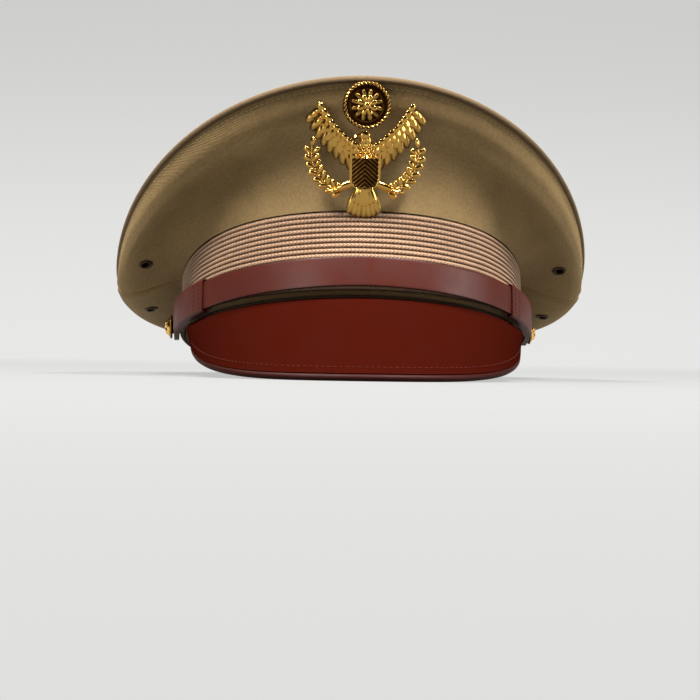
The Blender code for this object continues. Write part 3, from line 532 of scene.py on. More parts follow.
def plume_mesh(segments=12, rings=10, ridge=0.5):
    """A feather or leaf along X with a crease down its middle, widest past its half."""
    mesh = bead_mesh(segments, rings)
    for vert in mesh.vertices:
        x, y, z = vert.co
        if z > 0.0:
            z *= 1.0 - ridge * math.sqrt(min(1.0, abs(y)))
        vert.co = (x + 0.28 * (1.0 - x * x), y, z)
    return mesh


def joined(name, parts, frame_matrix=None, bend=None, relief=None):
    """One object from copies of shapes: parts is a list of (mesh, matrix)."""
    corners = []
    faces = []
    for mesh, matrix in parts:
        start = len(corners)
        corners.extend(matrix @ vert.co for vert in mesh.vertices)
        flip = matrix.to_3x3().determinant() < 0.0
        for face in mesh.polygons:
            around = [start + i for i in face.vertices]
            faces.append(around[::-1] if flip else around)
    heights = [point.z for point in corners]
    if bend:
        corners = [bend(point) for point in corners]
    if frame_matrix:
        corners = [frame_matrix @ point for point in corners]
    mesh = bpy.data.meshes.new(name)
    mesh.from_pydata(corners, [], faces)
    if relief:
        low, high = relief
        values = [min(max((height - low) / (high - low), 0.0), 1.0) for height in heights]
        mesh.attributes.new("relief", "FLOAT", "POINT").data.foreach_set("value", values)
    mesh.update()
    obj = bpy.data.objects.new(name, mesh)
    bpy.context.collection.objects.link(obj)
    return obj


def span(start, end, half_width, half_thickness, height=0.0, lift=0.0):
    """Where a plume lies: from start to end in the badge's plane."""
    run = Vector((end[0] - start[0], end[1] - start[1], lift))
    x = run.normalized()
    z = Vector((0.0, 0.0, 1.0))
    y = z.cross(x).normalized()
    z = x.cross(y)
    columns = axes(x * run.length / 2, y * half_width, z * half_thickness)
    middle = Vector(((start[0] + end[0]) / 2, (start[1] + end[1]) / 2, height + lift / 2))
    return Matrix.Translation(middle) @ columns


def bead_at(x, y, z, wide, tall, deep):
    return Matrix.Translation((x, y, z)) @ Matrix.Diagonal((wide, tall, deep, 1.0))


def dress(obj, material, body, slot, *nodes, smooth=35.0):
    """Give a finished piece its material and its body, and hide the solids it stands for; slot is not used.
    """
    obj.data.materials.clear()
    obj.data.materials.append(material)
    only(obj)
    bpy.ops.object.shade_smooth_by_angle(angle=math.radians(smooth))
    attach(obj, body)
    if nodes:
        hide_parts(*nodes)
    return obj


def sew(name, row, start, end, body, material, slot, pitch=None, size=None, lift=0.0):
    """A row of stitches; row(t) gives a point of the sewn surface and the way it faces."""
    pitch = pitch or trim().stitch_pitch
    size = size or trim().stitch_length
    radius = trim().thread_radius
    samples = steps(start, end, 600)
    points = [row(t)[0] for t in samples]
    along = [0.0]
    for a, b in zip(points, points[1:]):
        along.append(along[-1] + (b - a).length)
    count = max(1, int(along[-1] / pitch))
    spacing = along[-1] / count
    shape = bead_mesh(6, 4)
    parts = []
    j = 0
    for k in range(count):
        target = (k + 0.5) * spacing
        while along[j + 1] < target:
            j += 1
        t = mix(samples[j], samples[j + 1], (target - along[j]) / max(along[j + 1] - along[j], 1e-12))
        point, normal = row(t)
        run = (points[j + 1] - points[j]).normalized()
        side = normal.cross(run).normalized()
        columns = axes(run * size / 2, side * radius, normal * radius * 0.8)
        parts.append((shape, Matrix.Translation(point + normal * lift) @ columns))
    obj = joined(name, parts, CAP)
    return dress(obj, material, body, slot)


# Materials


def add_node(tree, kind, inputs=None, **settings):
    node = tree.nodes.new("ShaderNode" + kind)
    for key, value in settings.items():
        setattr(node, key, value)
    for key, value in (inputs or {}).items():
        if isinstance(value, bpy.types.NodeSocket):
            tree.links.new(value, node.inputs[key])
        else:
            node.inputs[key].default_value = value
    return node


def calc(tree, operation, *values):
    return add_node(tree, "Math", dict(enumerate(values)), operation=operation).outputs[0]


def blend(tree, factor, first, second):
    return add_node(tree, "Mix", {0: factor, 6: first, 7: second}, data_type="RGBA").outputs[2]


def ramp(tree, value, low, high, start=0.0, end=1.0):
    names = {"Value": value, "From Min": low, "From Max": high, "To Min": start, "To Max": end}
    return add_node(tree, "MapRange", names, interpolation_type="SMOOTHSTEP").outputs["Result"]


def new_group(name, inputs, outputs):
    tree = bpy.data.node_groups.new(name, "ShaderNodeTree")
    for label, kind, default in inputs:
        socket = tree.interface.new_socket(name=label, in_out="INPUT", socket_type="NodeSocket" + kind)
        if default is not None:
            socket.default_value = default
    for label in outputs:
        tree.interface.new_socket(name=label, in_out="OUTPUT", socket_type="NodeSocketFloat")
    return tree, tree.nodes.new("NodeGroupInput").outputs, tree.nodes.new("NodeGroupOutput")


def put_out(tree, node, **values):
    for name, socket in values.items():
        tree.links.new(socket, node.inputs[name.replace("_", " ")])


def twill_group():
    """Diagonal ribs of thread with uneven, slightly slubbed yarn."""
    found = bpy.data.node_groups.get("twill_weave")
    if found:
        return found
    tree, given, out = new_group("twill_weave", [("Vector", "Vector", None), ("Pitch", "Float", 0.001)],
                                 ["Height", "Shade"])
    scale = calc(tree, "DIVIDE", 1.0, given["Pitch"])
    scaled = add_node(tree, "VectorMath", {0: given["Vector"], "Scale": scale}, operation="SCALE").outputs[0]
    parts = add_node(tree, "SeparateXYZ", {0: scaled}).outputs
    slub = mottled(tree, scaled, 0.35, 3.0)
    rib = calc(tree, "ADD", calc(tree, "MULTIPLY", parts["X"], 0.62), parts["Y"])
    rib = calc(tree, "ADD", rib, calc(tree, "MULTIPLY", slub, 0.5))
    rib = calc(tree, "SINE", calc(tree, "MULTIPLY", rib, 2 * math.pi))
    cross = calc(tree, "SUBTRACT", calc(tree, "MULTIPLY", parts["X"], 1.7), parts["Y"])
    cross = calc(tree, "SINE", calc(tree, "MULTIPLY", cross, 2 * math.pi))
    height = calc(tree, "ADD", calc(tree, "MULTIPLY", rib, 0.32), calc(tree, "MULTIPLY", cross, 0.14))
    height = calc(tree, "ADD", height, 0.5)
    cloud = mottled(tree, scaled, 0.045, 4.0)
    value = calc(tree, "ADD", calc(tree, "MULTIPLY", height, 0.5), calc(tree, "MULTIPLY", slub, 0.3))
    value = calc(tree, "ADD", value, ramp(tree, cloud, 0.0, 1.0, 0.09, 0.21))
    put_out(tree, out, Height=height, Shade=value)
    return tree


def grain_group():
    """Fine pebbled leather grain with broad, soft changes of colour."""
    found = bpy.data.node_groups.get("leather_grain")
    if found:
        return found
    tree, given, out = new_group("leather_grain", [("Vector", "Vector", None), ("Size", "Float", 0.0009)],
                                 ["Height", "Mottle"])
    scale = calc(tree, "DIVIDE", 1.0, given["Size"])
    scaled = add_node(tree, "VectorMath", {0: given["Vector"], "Scale": scale}, operation="SCALE").outputs[0]
    cells = add_node(tree, "TexVoronoi", {"Vector": scaled, "Scale": 1.0}, feature="SMOOTH_F1")
    fine = mottled(tree, scaled, 0.6, 4.0)
    height = calc(tree, "ADD", calc(tree, "MULTIPLY", cells.outputs["Distance"], -0.6), fine)
    broad = mottled(tree, scaled, 0.05, 5.0)
    mottle = calc(tree, "ADD", calc(tree, "MULTIPLY", broad, 0.75), calc(tree, "MULTIPLY", fine, 0.25))
    put_out(tree, out, Height=height, Mottle=mottle)
    return tree


def made_once(make):
    """Make a finish when it is first asked for, and find it by its name after that."""
    def find(name=None, *values, **settings):
        name = name or make.__name__
        return bpy.data.materials.get("finish_" + name) or make(name, *values, **settings)
    return find


def new_material(name, roughness=0.5, metallic=0.0, **sockets):
    material = bpy.data.materials.new("finish_" + name)
    material.use_nodes = True
    tree = material.node_tree
    shader = tree.nodes["Principled BSDF"]
    shader.inputs["Roughness"].default_value = roughness
    shader.inputs["Metallic"].default_value = metallic
    for key, value in sockets.items():
        shader.inputs[key.replace("_", " ")].default_value = value
    return material, tree, shader


def uv_vector(tree):
    return add_node(tree, "TexCoord").outputs["UV"]


def place_vector(tree):
    return add_node(tree, "TexCoord").outputs["Object"]


def mottled(tree, vector, scale, detail):
    """Soft uneven noise, 0 to 1."""
    return add_node(tree, "TexNoise", {"Vector": vector, "Scale": scale, "Detail": detail}).outputs["Fac"]


def bump(tree, shader, height, strength, distance):
    node = add_node(tree, "Bump", {"Height": height, "Strength": strength, "Distance": distance})
    tree.links.new(node.outputs["Normal"], shader.inputs["Normal"])


@made_once
def cloth_material(name, light, dark, pitch):
    material, tree, shader = new_material(name, 0.86, Sheen_Weight=0.06, Sheen_Roughness=0.45,
                                          Sheen_Tint=(1.0, 0.90, 0.72, 1.0), Specular_IOR_Level=0.25)
    weave = add_node(tree, "Group", node_tree=twill_group())
    weave.inputs["Pitch"].default_value = pitch
    tree.links.new(uv_vector(tree), weave.inputs["Vector"])
    tone = ramp(tree, weave.outputs["Shade"], 0.32, 0.76)
    tree.links.new(blend(tree, tone, dark, light), shader.inputs["Base Color"])
    bump(tree, shader, weave.outputs["Height"], 0.6, 0.0003)
    return material


@made_once
def leather_material(name, base, edge, roughness, size, gloss=0.35, edge_from_uv=False):
    """Grained leather; size is the grain's, and edge_from_uv burnishes the two long edges of a strip."""
    material, tree, shader = new_material(name, roughness, Specular_IOR_Level=gloss)
    grain = add_node(tree, "Group", node_tree=grain_group())
    grain.inputs["Size"].default_value = size
    tree.links.new(place_vector(tree), grain.inputs["Vector"])
    tone = ramp(tree, grain.outputs["Mottle"], 0.3, 0.7, 0.0, 0.30)
    surface = blend(tree, tone, base, edge)
    if edge_from_uv:
        across = add_node(tree, "SeparateXYZ", {0: uv_vector(tree)}).outputs["Y"]
        near = calc(tree, "ABSOLUTE", calc(tree, "SUBTRACT", across, 0.5))
        surface = blend(tree, ramp(tree, near, 0.462, 0.5, 0.0, 0.45), surface, edge)
    tree.links.new(surface, shader.inputs["Base Color"])
    worn = ramp(tree, grain.outputs["Mottle"], 0.25, 0.75, roughness - 0.07, roughness + 0.08)
    tree.links.new(worn, shader.inputs["Roughness"])
    bump(tree, shader, grain.outputs["Height"], 0.12, 0.0002)
    return material


def visor_leather():
    base, edge = colours().visor_russet, colours().edge_brown
    return leather_material("visor_leather", base, edge, 0.66, 0.0008, gloss=0.0)


def binding_leather():
    base, edge = colours().edge_brown, colours().visor_russet
    return leather_material("binding_leather", base, edge, 0.5, 0.0008, gloss=0.14)


def strap_leather():
    base, edge = colours().strap_russet, colours().edge_brown
    return leather_material("strap_leather", base, edge, 0.38, 0.0007, gloss=0.4, edge_from_uv=True)


def keeper_leather():
    base, edge = colours().strap_russet, colours().edge_brown
    return leather_material("keeper_leather", base, edge, 0.46, 0.0007, gloss=0.24)


def sweatband_leather():
    base, edge = colours().sweatband_tan, colours().strap_russet
    return leather_material("sweatband_leather", base, edge, 0.55, 0.0009)


def khaki_twill():
    return cloth_material("khaki_twill", colours().khaki_light, colours().khaki_dark, trim().weave_pitch)


def piping_cloth():
    return cloth_material("khaki_piping", colours().piping, colours().khaki_dark, trim().weave_pitch * 0.8)


def band_piping():
    # Painted shadow: the lower piping is kept at half of the khaki's dark tone all round, as if the strap
    # above shaded it.
    dark = dimmed(colours().khaki_dark, 0.5)
    return cloth_material("band_piping", colours().khaki_dark, dark, trim().weave_pitch * 0.8)


def lining_cloth():
    dark = dimmed(colours().lining, 0.72)
    material = cloth_material("lining_satin", colours().lining, dark, 0.0006)
    material.node_tree.nodes["Principled BSDF"].inputs["Roughness"].default_value = 0.45
    return material


@made_once
def thread_material(name, base):
    material, tree, shader = new_material(name, 0.8, Sheen_Weight=0.04, Specular_IOR_Level=0.1)
    twist = mottled(tree, place_vector(tree), 1800.0, 2.0)
    tree.links.new(blend(tree, twist, dimmed(base, 0.6), base), shader.inputs["Base Color"])
    return material


def khaki_thread():
    return thread_material("khaki_thread", colours().khaki_thread)


def russet_thread():
    return thread_material("russet_thread", colours().russet_thread)


@made_once
def gilt_metal(name):
    """Polished gilt with painted shade in the sunken parts of its relief."""
    material, tree, shader = new_material(name, 0.16, 1.0)
    relief = add_node(tree, "Attribute", attribute_name="relief").outputs["Fac"]
    wear = mottled(tree, place_vector(tree), 420.0, 4.0)
    depth = calc(tree, "ADD", relief, calc(tree, "MULTIPLY", calc(tree, "SUBTRACT", wear, 0.5), 0.35))
    # Painted shade: the lower the relief, the nearer the colour is to the deep gilt.
    high = ramp(tree, depth, 0.12, 0.70)
    tree.links.new(blend(tree, high, colours().gilt_deep, colours().gilt), shader.inputs["Base Color"])
    tree.links.new(ramp(tree, depth, 0.0, 0.7, 0.45, 0.13), shader.inputs["Roughness"])
    bump(tree, shader, wear, 0.06, 0.0002)
    return material


@made_once
def plain_metal(name, base, roughness):
    """Drawn or turned metal with faint scratches."""
    material, tree, shader = new_material(name, roughness, 1.0)
    spot = mottled(tree, place_vector(tree), 600.0, 5.0)
    tone = ramp(tree, spot, 0.35, 0.65)
    tree.links.new(blend(tree, tone, dimmed(base, 0.55), base), shader.inputs["Base Color"])
    tree.links.new(ramp(tree, spot, 0.3, 0.7, roughness - 0.1, roughness + 0.12), shader.inputs["Roughness"])
    bump(tree, shader, spot, 0.08, 0.0002)
    return material


@made_once
def fibre_board(name):
    """Stiff woven board: a coarse weave under a coat of glue, in a dark colour that is painted shade where
    the board shows in the gap under the strap.
    """
    material, tree, shader = new_material(name, 0.9)
    weave = add_node(tree, "Group", node_tree=twill_group())
    weave.inputs["Pitch"].default_value = 0.0014
    tree.links.new(place_vector(tree), weave.inputs["Vector"])
    surface = blend(tree, weave.outputs["Shade"], dimmed(colours().fibre, 0.6), colours().fibre)
    tree.links.new(surface, shader.inputs["Base Color"])
    bump(tree, shader, weave.outputs["Height"], 0.3, 0.0003)
    return material


@made_once
def mohair_braid(name):
    """Flat plaits side by side: strands slant one way on a rib and the other way on the next; the grooves
    between the ribs get painted shade.
    """
    material, tree, shader = new_material(name, 0.74, Sheen_Weight=0.1, Sheen_Roughness=0.4,
                                          Sheen_Tint=(1.0, 0.88, 0.74, 1.0))
    parts = add_node(tree, "SeparateXYZ", {0: uv_vector(tree)}).outputs
    along = calc(tree, "DIVIDE", parts["X"], trim().braid_pitch)
    across = parts["Y"]
    fold = calc(tree, "PINGPONG", across, 0.5)
    strand = calc(tree, "ADD", along, calc(tree, "MULTIPLY", fold, 1.1))
    strand = calc(tree, "SINE", calc(tree, "MULTIPLY", strand, 2 * math.pi))
    strand = calc(tree, "ADD", calc(tree, "MULTIPLY", strand, 0.5), 0.5)
    # Painted shade: the tone drops towards the dark braid colour in the grooves between the ribs.
    groove_bump_and_shade = calc(tree, "ABSOLUTE", calc(tree, "COSINE", calc(tree, "MULTIPLY", across, math.pi)))
    groove_bump_and_shade = ramp(tree, groove_bump_and_shade, 0.10, 0.90)
    hair = mottled(tree, place_vector(tree), 900.0, 3.0)
    cloud = mottled(tree, place_vector(tree), 60.0, 3.0)
    tone = calc(tree, "MULTIPLY", groove_bump_and_shade, calc(tree, "ADD", calc(tree, "MULTIPLY", strand, 0.55), 0.45))
    tone = calc(tree, "ADD", tone, calc(tree, "MULTIPLY", calc(tree, "SUBTRACT", hair, 0.5), 0.35))
    tone = calc(tree, "ADD", tone, calc(tree, "MULTIPLY", calc(tree, "SUBTRACT", cloud, 0.5), 0.30))
    tree.links.new(blend(tree, ramp(tree, tone, 0.0, 1.0), colours().braid_dark, colours().braid_light),
                   shader.inputs["Base Color"])
    height = calc(tree, "ADD", calc(tree, "MULTIPLY", strand, groove_bump_and_shade), calc(tree, "MULTIPLY", hair, 0.4))
    bump(tree, shader, height, 0.8, 0.0004)
    return material


@made_once
def clear_film(name):
    """Clear film, slightly hazed."""
    material, tree, shader = new_material(name, 0.08, Transmission_Weight=1.0, IOR=1.45,
                                          Base_Color=(0.94, 0.93, 0.86, 1.0))
    haze = mottled(tree, place_vector(tree), 90.0, 3.0)
    tree.links.new(ramp(tree, haze, 0.3, 0.8, 0.05, 0.22), shader.inputs["Roughness"])
    return material


# Pieces


def crown_side(angle, share):
    """The side cloth with its seams drawn in, the swell of the wire in the rim and soft ripples."""
    point, normal = surface_frame(quarter_point, angle, share)
    seam = min(abs(abs(angle) - math.pi / 2), math.pi - abs(angle)) * RIM_WIDTH / 2
    point += rim_tangent(angle) * RIM_TUCK * smooth_step((share - 0.9) * 10.0)
    swell = WIRE_SWELL * hump(share - 0.89, 0.05) - SEAM_DEPTH * hump(seam, 0.0016)
    swell += SEAM_RIDGE * hump(seam - 0.0042, 0.002)
    at = Vector((math.sin(angle) * 2.6, math.cos(angle) * 2.6, share * 1.5))
    ripple = trim().ripple * noise.noise(at) * math.sin(math.pi * share) ** 0.7
    return point + normal * (swell + ripple)


def crown_over(angle, share):
    """The top cloth, drawn over the wire near the rim and slightly slack inside it."""
    point = top_point(angle, share)
    at = Vector((point.x * 16.0, point.y * 16.0, 3.7))
    slack = trim().ripple * noise.noise(at) * smooth_step((1.0 - share) * 5.0)
    point.z += slack + 0.0005 * hump(share - 0.945, 0.025)
    return point


def cloth_sheet(obj, thickness):
    apply_modifier(obj, "SOLIDIFY", thickness=thickness, offset=0.0)


def standing(point, normal):
    """Where a turned shape stands up from a surface."""
    return Matrix.Translation(point) @ normal.to_track_quat("Z", "Y").to_matrix().to_4x4()


def cut_hole(obj, point, normal, radius, depth):
    bpy.ops.object.select_all(action="DESELECT")
    bpy.ops.mesh.primitive_cylinder_add(vertices=28, radius=radius, depth=depth)
    cutter = bpy.context.object
    cutter.data.transform(CAP @ standing(point, normal))
    apply_modifier(obj, "BOOLEAN", object=cutter, operation="DIFFERENCE", solver="EXACT")
    bpy.data.objects.remove(cutter)


EYELET_SPREAD = math.radians(12.5)
EYELET_SHARE = 0.40
EYELETS = [(side * (math.pi / 2 + offset), side, place)
           for side in (-1, 1) for place, offset in (("front", -EYELET_SPREAD), ("rear", EYELET_SPREAD))]


class CAP_OT_crown(bpy.types.Operator):
    """Cut and lay the top and the three side panels of the crown"""
    bl_idname = "cap.crown"
    bl_label = "Crown cloth"

    def execute(self, context):
        half = math.pi / 2
        seam = SEAM_GAP / RIM_WIDTH
        rise = steps(0.0, 1.0, 34)
        top = laid_sheet("crown_top_cloth", crown_over, steps(-math.pi, math.pi, 168), steps(0.0, 1.0, 36))
        for corner in top.data.loops:
            spot = top.data.vertices[corner.vertex_index].co
            top.data.uv_layers.active.data[corner.index].uv = (spot.x, spot.y)
        cloth_sheet(top, CLOTH_THICKNESS)
        dress(top, khaki_twill(), "cap", "khaki_twill", "crown_top")
        panels = (("front_quarter", -half + seam, half - seam, 132, 0.36),
                  ("rear_quarter_left", -math.pi + seam, -half - seam, 84, 0.21),
                  ("rear_quarter_right", half + seam, math.pi - seam, 84, 0.21))
        near = SEAM_CLOSE_STATIONS
        for node, start, end, count, across in panels:
            inner = steps(start + SEAM_CLEAR, end - SEAM_CLEAR, count)
            stations = [start + gap for gap in near] + inner + [end - gap for gap in reversed(near)]
            panel = laid_sheet(node + "_cloth", crown_side, stations, rise, (across, 0.062))
            cloth_sheet(panel, CLOTH_THICKNESS)
            for angle, side, place in EYELETS:
                if start < angle < end:
                    point, normal = surface_frame(crown_side, angle, EYELET_SHARE)
                    cut_hole(panel, point, normal, EYELET_HOLE, 0.012)
            dress(panel, khaki_twill(), "cap", "khaki_twill", node)
        return {"FINISHED"}


class CAP_OT_welt(bpy.types.Operator):
    """Lay the corded welt round the rim and sew the rows beside it"""
    bl_idname = "cap.welt"
    bl_label = "Rim welt and stitching"

    def execute(self, context):
        ring = steps(-math.pi, math.pi, 240)
        welt = laid_tube("crown_welt_cord", rim_point, ring, WELT_RADIUS * 1.04, 14, (0.83, 0.0107))
        dress(welt, piping_cloth(), "cap", "khaki_piping", "crown_welt")
        inset = trim().welt_stitch_inset

        def side_row(angle):
            run = (crown_side(angle, 1.0) - crown_side(angle, 0.97)).length / 0.03
            return surface_frame(crown_side, angle, 1.0 - (inset - WELT_RADIUS) / run, 1e-3)

        def top_row(angle):
            share = 1.0 - (inset - WELT_RADIUS) / (RIM_WIDTH / 2)
            point, normal = surface_frame(crown_over, angle, share, 1e-3)
            return point, (-normal if normal.z < 0.0 else normal)

        for name, row in (("crown_side_stitching", side_row), ("crown_top_stitching", top_row)):
            sew(name, row, -math.pi, math.pi, "cap", khaki_thread(), "khaki_twill", lift=CLOTH_STITCH_LIFT)
        return {"FINISHED"}


class CAP_OT_eyelets(bpy.types.Operator):
    """Turn one bronze eyelet and set a copy at each vent"""
    bl_idname = "cap.eyelets"
    bl_label = "Vent eyelets"

    def execute(self, context):
        profile = []
        for i in range(11):
            turn = math.pi * i / 10
            profile.append((0.00285 + 0.00085 * math.cos(turn), 0.00075 + 0.00055 * math.sin(turn)))
        profile += [(0.0020, -0.0016), (0.0030, -0.0019), (0.0031, -0.0016), (0.0024, -0.0012),
                    (0.0024, 0.0005)]
        profile.append(profile[0])
        shape = turned_mesh("vent_eyelet", profile, 28)
        for angle, side, place in EYELETS:
            node = "vent_eyelet_" + ("left" if side < 0 else "right") + "_" + place
            point, normal = surface_frame(crown_side, angle, EYELET_SHARE)
            eyelet = joined(node + "_ring", [(shape, standing(point, normal))], CAP)
            dress(eyelet, plain_metal("aged_bronze", colours().bronze, 0.42), "cap", "bronze", node)
        return {"FINISHED"}


class CAP_OT_band(bpy.types.Operator):
    """Wind the ribbed braid round the band, with the piping under it"""
    bl_idname = "cap.band"
    bl_label = "Braid and piping"

    def execute(self, context):
        ring = steps(-math.pi, math.pi, 280)
        pitch = (BAND_HEIGHT_FRONT - BRAID_FOOT) / trim().ribs
        rows = steps(0.0, 1.0, trim().ribs * 6)

        def braid(angle, share):
            high = band_top(angle)
            rib = share * (BAND_HEIGHT_FRONT - BRAID_FOOT) / pitch
            valley = 1.0 - abs(math.cos(math.pi * (rib - 0.5))) ** 0.7
            edge = hump(share, 0.012) + hump(1.0 - share, 0.012)
            offset = BRAID_OUTSIDE - trim().rib_depth * min(1.0, valley + edge) + 0.0001
            wave = 0.00012 * noise.noise(Vector((math.sin(angle) * 9.0, math.cos(angle) * 9.0, share * 7.0)))
            return oval(angle, offset + wave, mix(BRAID_FOOT, high, share))

        around = math.pi * (HEAD_LENGTH + HEAD_WIDTH) / 2 + 2 * math.pi * BRAID_OUTSIDE
        band = laid_sheet("band_braid_ribs", braid, ring, rows, (around, trim().ribs))
        for corner in band.data.uv_layers.active.data:
            corner.uv[1] -= 0.5
        apply_modifier(band, "SOLIDIFY", thickness=BRAID_THICKNESS, offset=-1.0)
        dress(band, mohair_braid(), "cap", "mohair_braid", "band_braid", smooth=60.0)

        def cord(angle):
            return oval(angle, PIPING_CENTRE, PIPING_RISE)

        piping = laid_tube("band_lower_cord", cord, ring, PIPING_RADIUS, 12, (around, 0.008))
        # The lower piping's finish carries painted shadow from the strap above it.
        dress(piping, band_piping(), "cap", "khaki_piping", "band_lower_piping")

        def edge_row(angle):
            point = oval(angle, BRAID_OUTSIDE, band_top(angle) - pitch)
            return point, quarter_outward(angle)

        thread = thread_material("braid_thread", colours().braid_dark)
        sew("band_braid_stitching", edge_row, -math.pi, math.pi, "cap", thread, "mohair_braid", lift=-0.0004)
        return {"FINISHED"}


class CAP_OT_visor(bpy.types.Operator):
    """Mould the visor's two leathers, bind their edge and stitch it"""
    bl_idname = "cap.visor"
    bl_label = "Visor"

    def execute(self, context):
        across = steps(-VISOR_END, VISOR_END, 150)
        down = steps(0.0, 1.0, 40)

        def layer(distance, start):
            surface = moved_out(visor_point, distance)

            def place(turn, share):
                stop = 1.0 - (BINDING_RADIUS * 0.7) / visor_run(turn)
                return surface(turn, mix(start, stop, share))
            return place

        top = laid_sheet("visor_top", layer(-VISOR_TOP_RISE, 0.0), across, down)
        apply_modifier(top, "SOLIDIFY", thickness=VISOR_TOP_THICKNESS, offset=0.0)
        dress(top, visor_leather(), "cap", "visor_leather", "visor_top_leather", smooth=50.0)
        under = laid_sheet("visor_underside", layer(VISOR_UNDER_DROP, 0.05), across, down)
        apply_modifier(under, "SOLIDIFY", thickness=VISOR_UNDER_THICKNESS, offset=0.0)
        dress(under, visor_leather(), "cap", "visor_leather", "visor_underside_leather", smooth=50.0)
        edge = laid_tube("visor_binding", visor_edge, steps(-VISOR_END, VISOR_END, 220), BINDING_RADIUS, 14,
                         (0.26, 0.01), closed=False)
        dress(edge, binding_leather(), "cap", "visor_leather", "visor_edge_binding")
        outside = moved_out(visor_point, -VISOR_STITCH_RISE)

        def row(turn):
            share = 1.0 - trim().visor_stitch_inset / visor_run(turn)
            point = outside(turn, share)
            return point, -surface_frame(visor_point, turn, share)[1]

        sew("visor_stitching", row, -VISOR_STITCH_END, VISOR_STITCH_END, "cap", russet_thread(),
            "visor_leather", lift=LEATHER_STITCH_LIFT)
        return {"FINISHED"}


class CAP_OT_strap(bpy.types.Operator):
    """Cut the two layers of the chin strap and fold the two keepers round them"""
    bl_idname = "cap.strap"
    bl_label = "Chin strap and keepers"

    def execute(self, context):
        for node, offset in (("chin_strap_inner", STRAP_INNER), ("chin_strap_outer", STRAP_OUTER)):
            tab = (STRAP_WIDTH / 2) / (HEAD_LENGTH / 2 + offset)

            def place(angle, side):
                past = max(0.0, abs(angle) - math.pi / 2) / tab
                half = STRAP_WIDTH / 2 * math.sqrt(max(0.0, 1.0 - past * past))
                crown = STRAP_CROWN * (1.0 - side * side)
                return oval(angle, offset - strap_settle(angle) + crown, strap_height(angle) + side * half)

            ends = [math.pi / 2 + tab * math.sin(math.pi / 2 * i / 9) for i in range(1, 9)]
            stations = [-angle for angle in reversed(ends)] + steps(-math.pi / 2, math.pi / 2, 150) + ends
            strap = laid_sheet(node + "_leather", place, stations, steps(-1.0, 1.0, 14), (0.34, 1.0))
            apply_modifier(strap, "SOLIDIFY", thickness=STRAP_THICKNESS, offset=0.0)
            apply_modifier(strap, "BEVEL", width=STRAP_EDGE, segments=2, limit_method="ANGLE",
                           angle_limit=LEATHER_EDGE_ANGLE)
            dress(strap, strap_leather(), "chin_strap", "strap_leather", node)
        for side, name in ((-1, "left"), (1, "right")):
            self.keeper(side, name)
        return {"FINISHED"}

    def keeper(self, side, name):
        corner = KEEPER_CORNER
        wall = KEEPER_THICKNESS / 2
        low, high = KEEPER_INSIDE + wall, KEEPER_OUTSIDE - wall
        half = STRAP_WIDTH / 2 + KEEPER_PLAY + wall
        loop = []
        corners = ((0.0, high, half), (0.5, low, half), (1.0, low, -half), (1.5, high, -half))
        for turn, offset, height in corners:
            centre_offset = offset + (corner if offset == low else -corner)
            centre_height = height + (-corner if height > 0.0 else corner)
            for i in range(7):
                bend = math.pi * (turn + i / 12)
                loop.append((centre_offset + corner * math.cos(bend),
                             centre_height + corner * math.sin(bend)))
        loop.append(loop[0])

        def place(angle, station):
            offset, height = loop[int(station)]
            return oval(side * angle, offset, strap_height(angle) + height)

        keeper = laid_sheet("strap_keeper_" + name + "_loop", place, steps(KEEPER_START, KEEPER_END, 28),
                            list(range(len(loop))))
        apply_modifier(keeper, "SOLIDIFY", thickness=KEEPER_THICKNESS, offset=0.0)
        apply_modifier(keeper, "BEVEL", width=KEEPER_EDGE, segments=2, limit_method="ANGLE",
                       angle_limit=LEATHER_EDGE_ANGLE)
        body = "keeper_" + name
        dress(keeper, keeper_leather(), body, "strap_leather", "strap_keeper_" + name)
        for count, inset in enumerate(KEEPER_STITCH_INSETS, 1):
            angle = KEEPER_START + inset / (HEAD_LENGTH / 2)

            def row(height):
                point = oval(side * angle, KEEPER_OUTSIDE, strap_height(angle) + height)
                return point, Vector((side * math.sin(angle), -math.cos(angle), 0.0))

            sew("strap_keeper_{}_row_{}".format(name, count), row, -half * 0.86, half * 0.86, body,
                russet_thread(), "strap_leather", pitch=KEEPER_STITCH_PITCH, size=KEEPER_STITCH_LENGTH,
                lift=LEATHER_STITCH_LIFT)


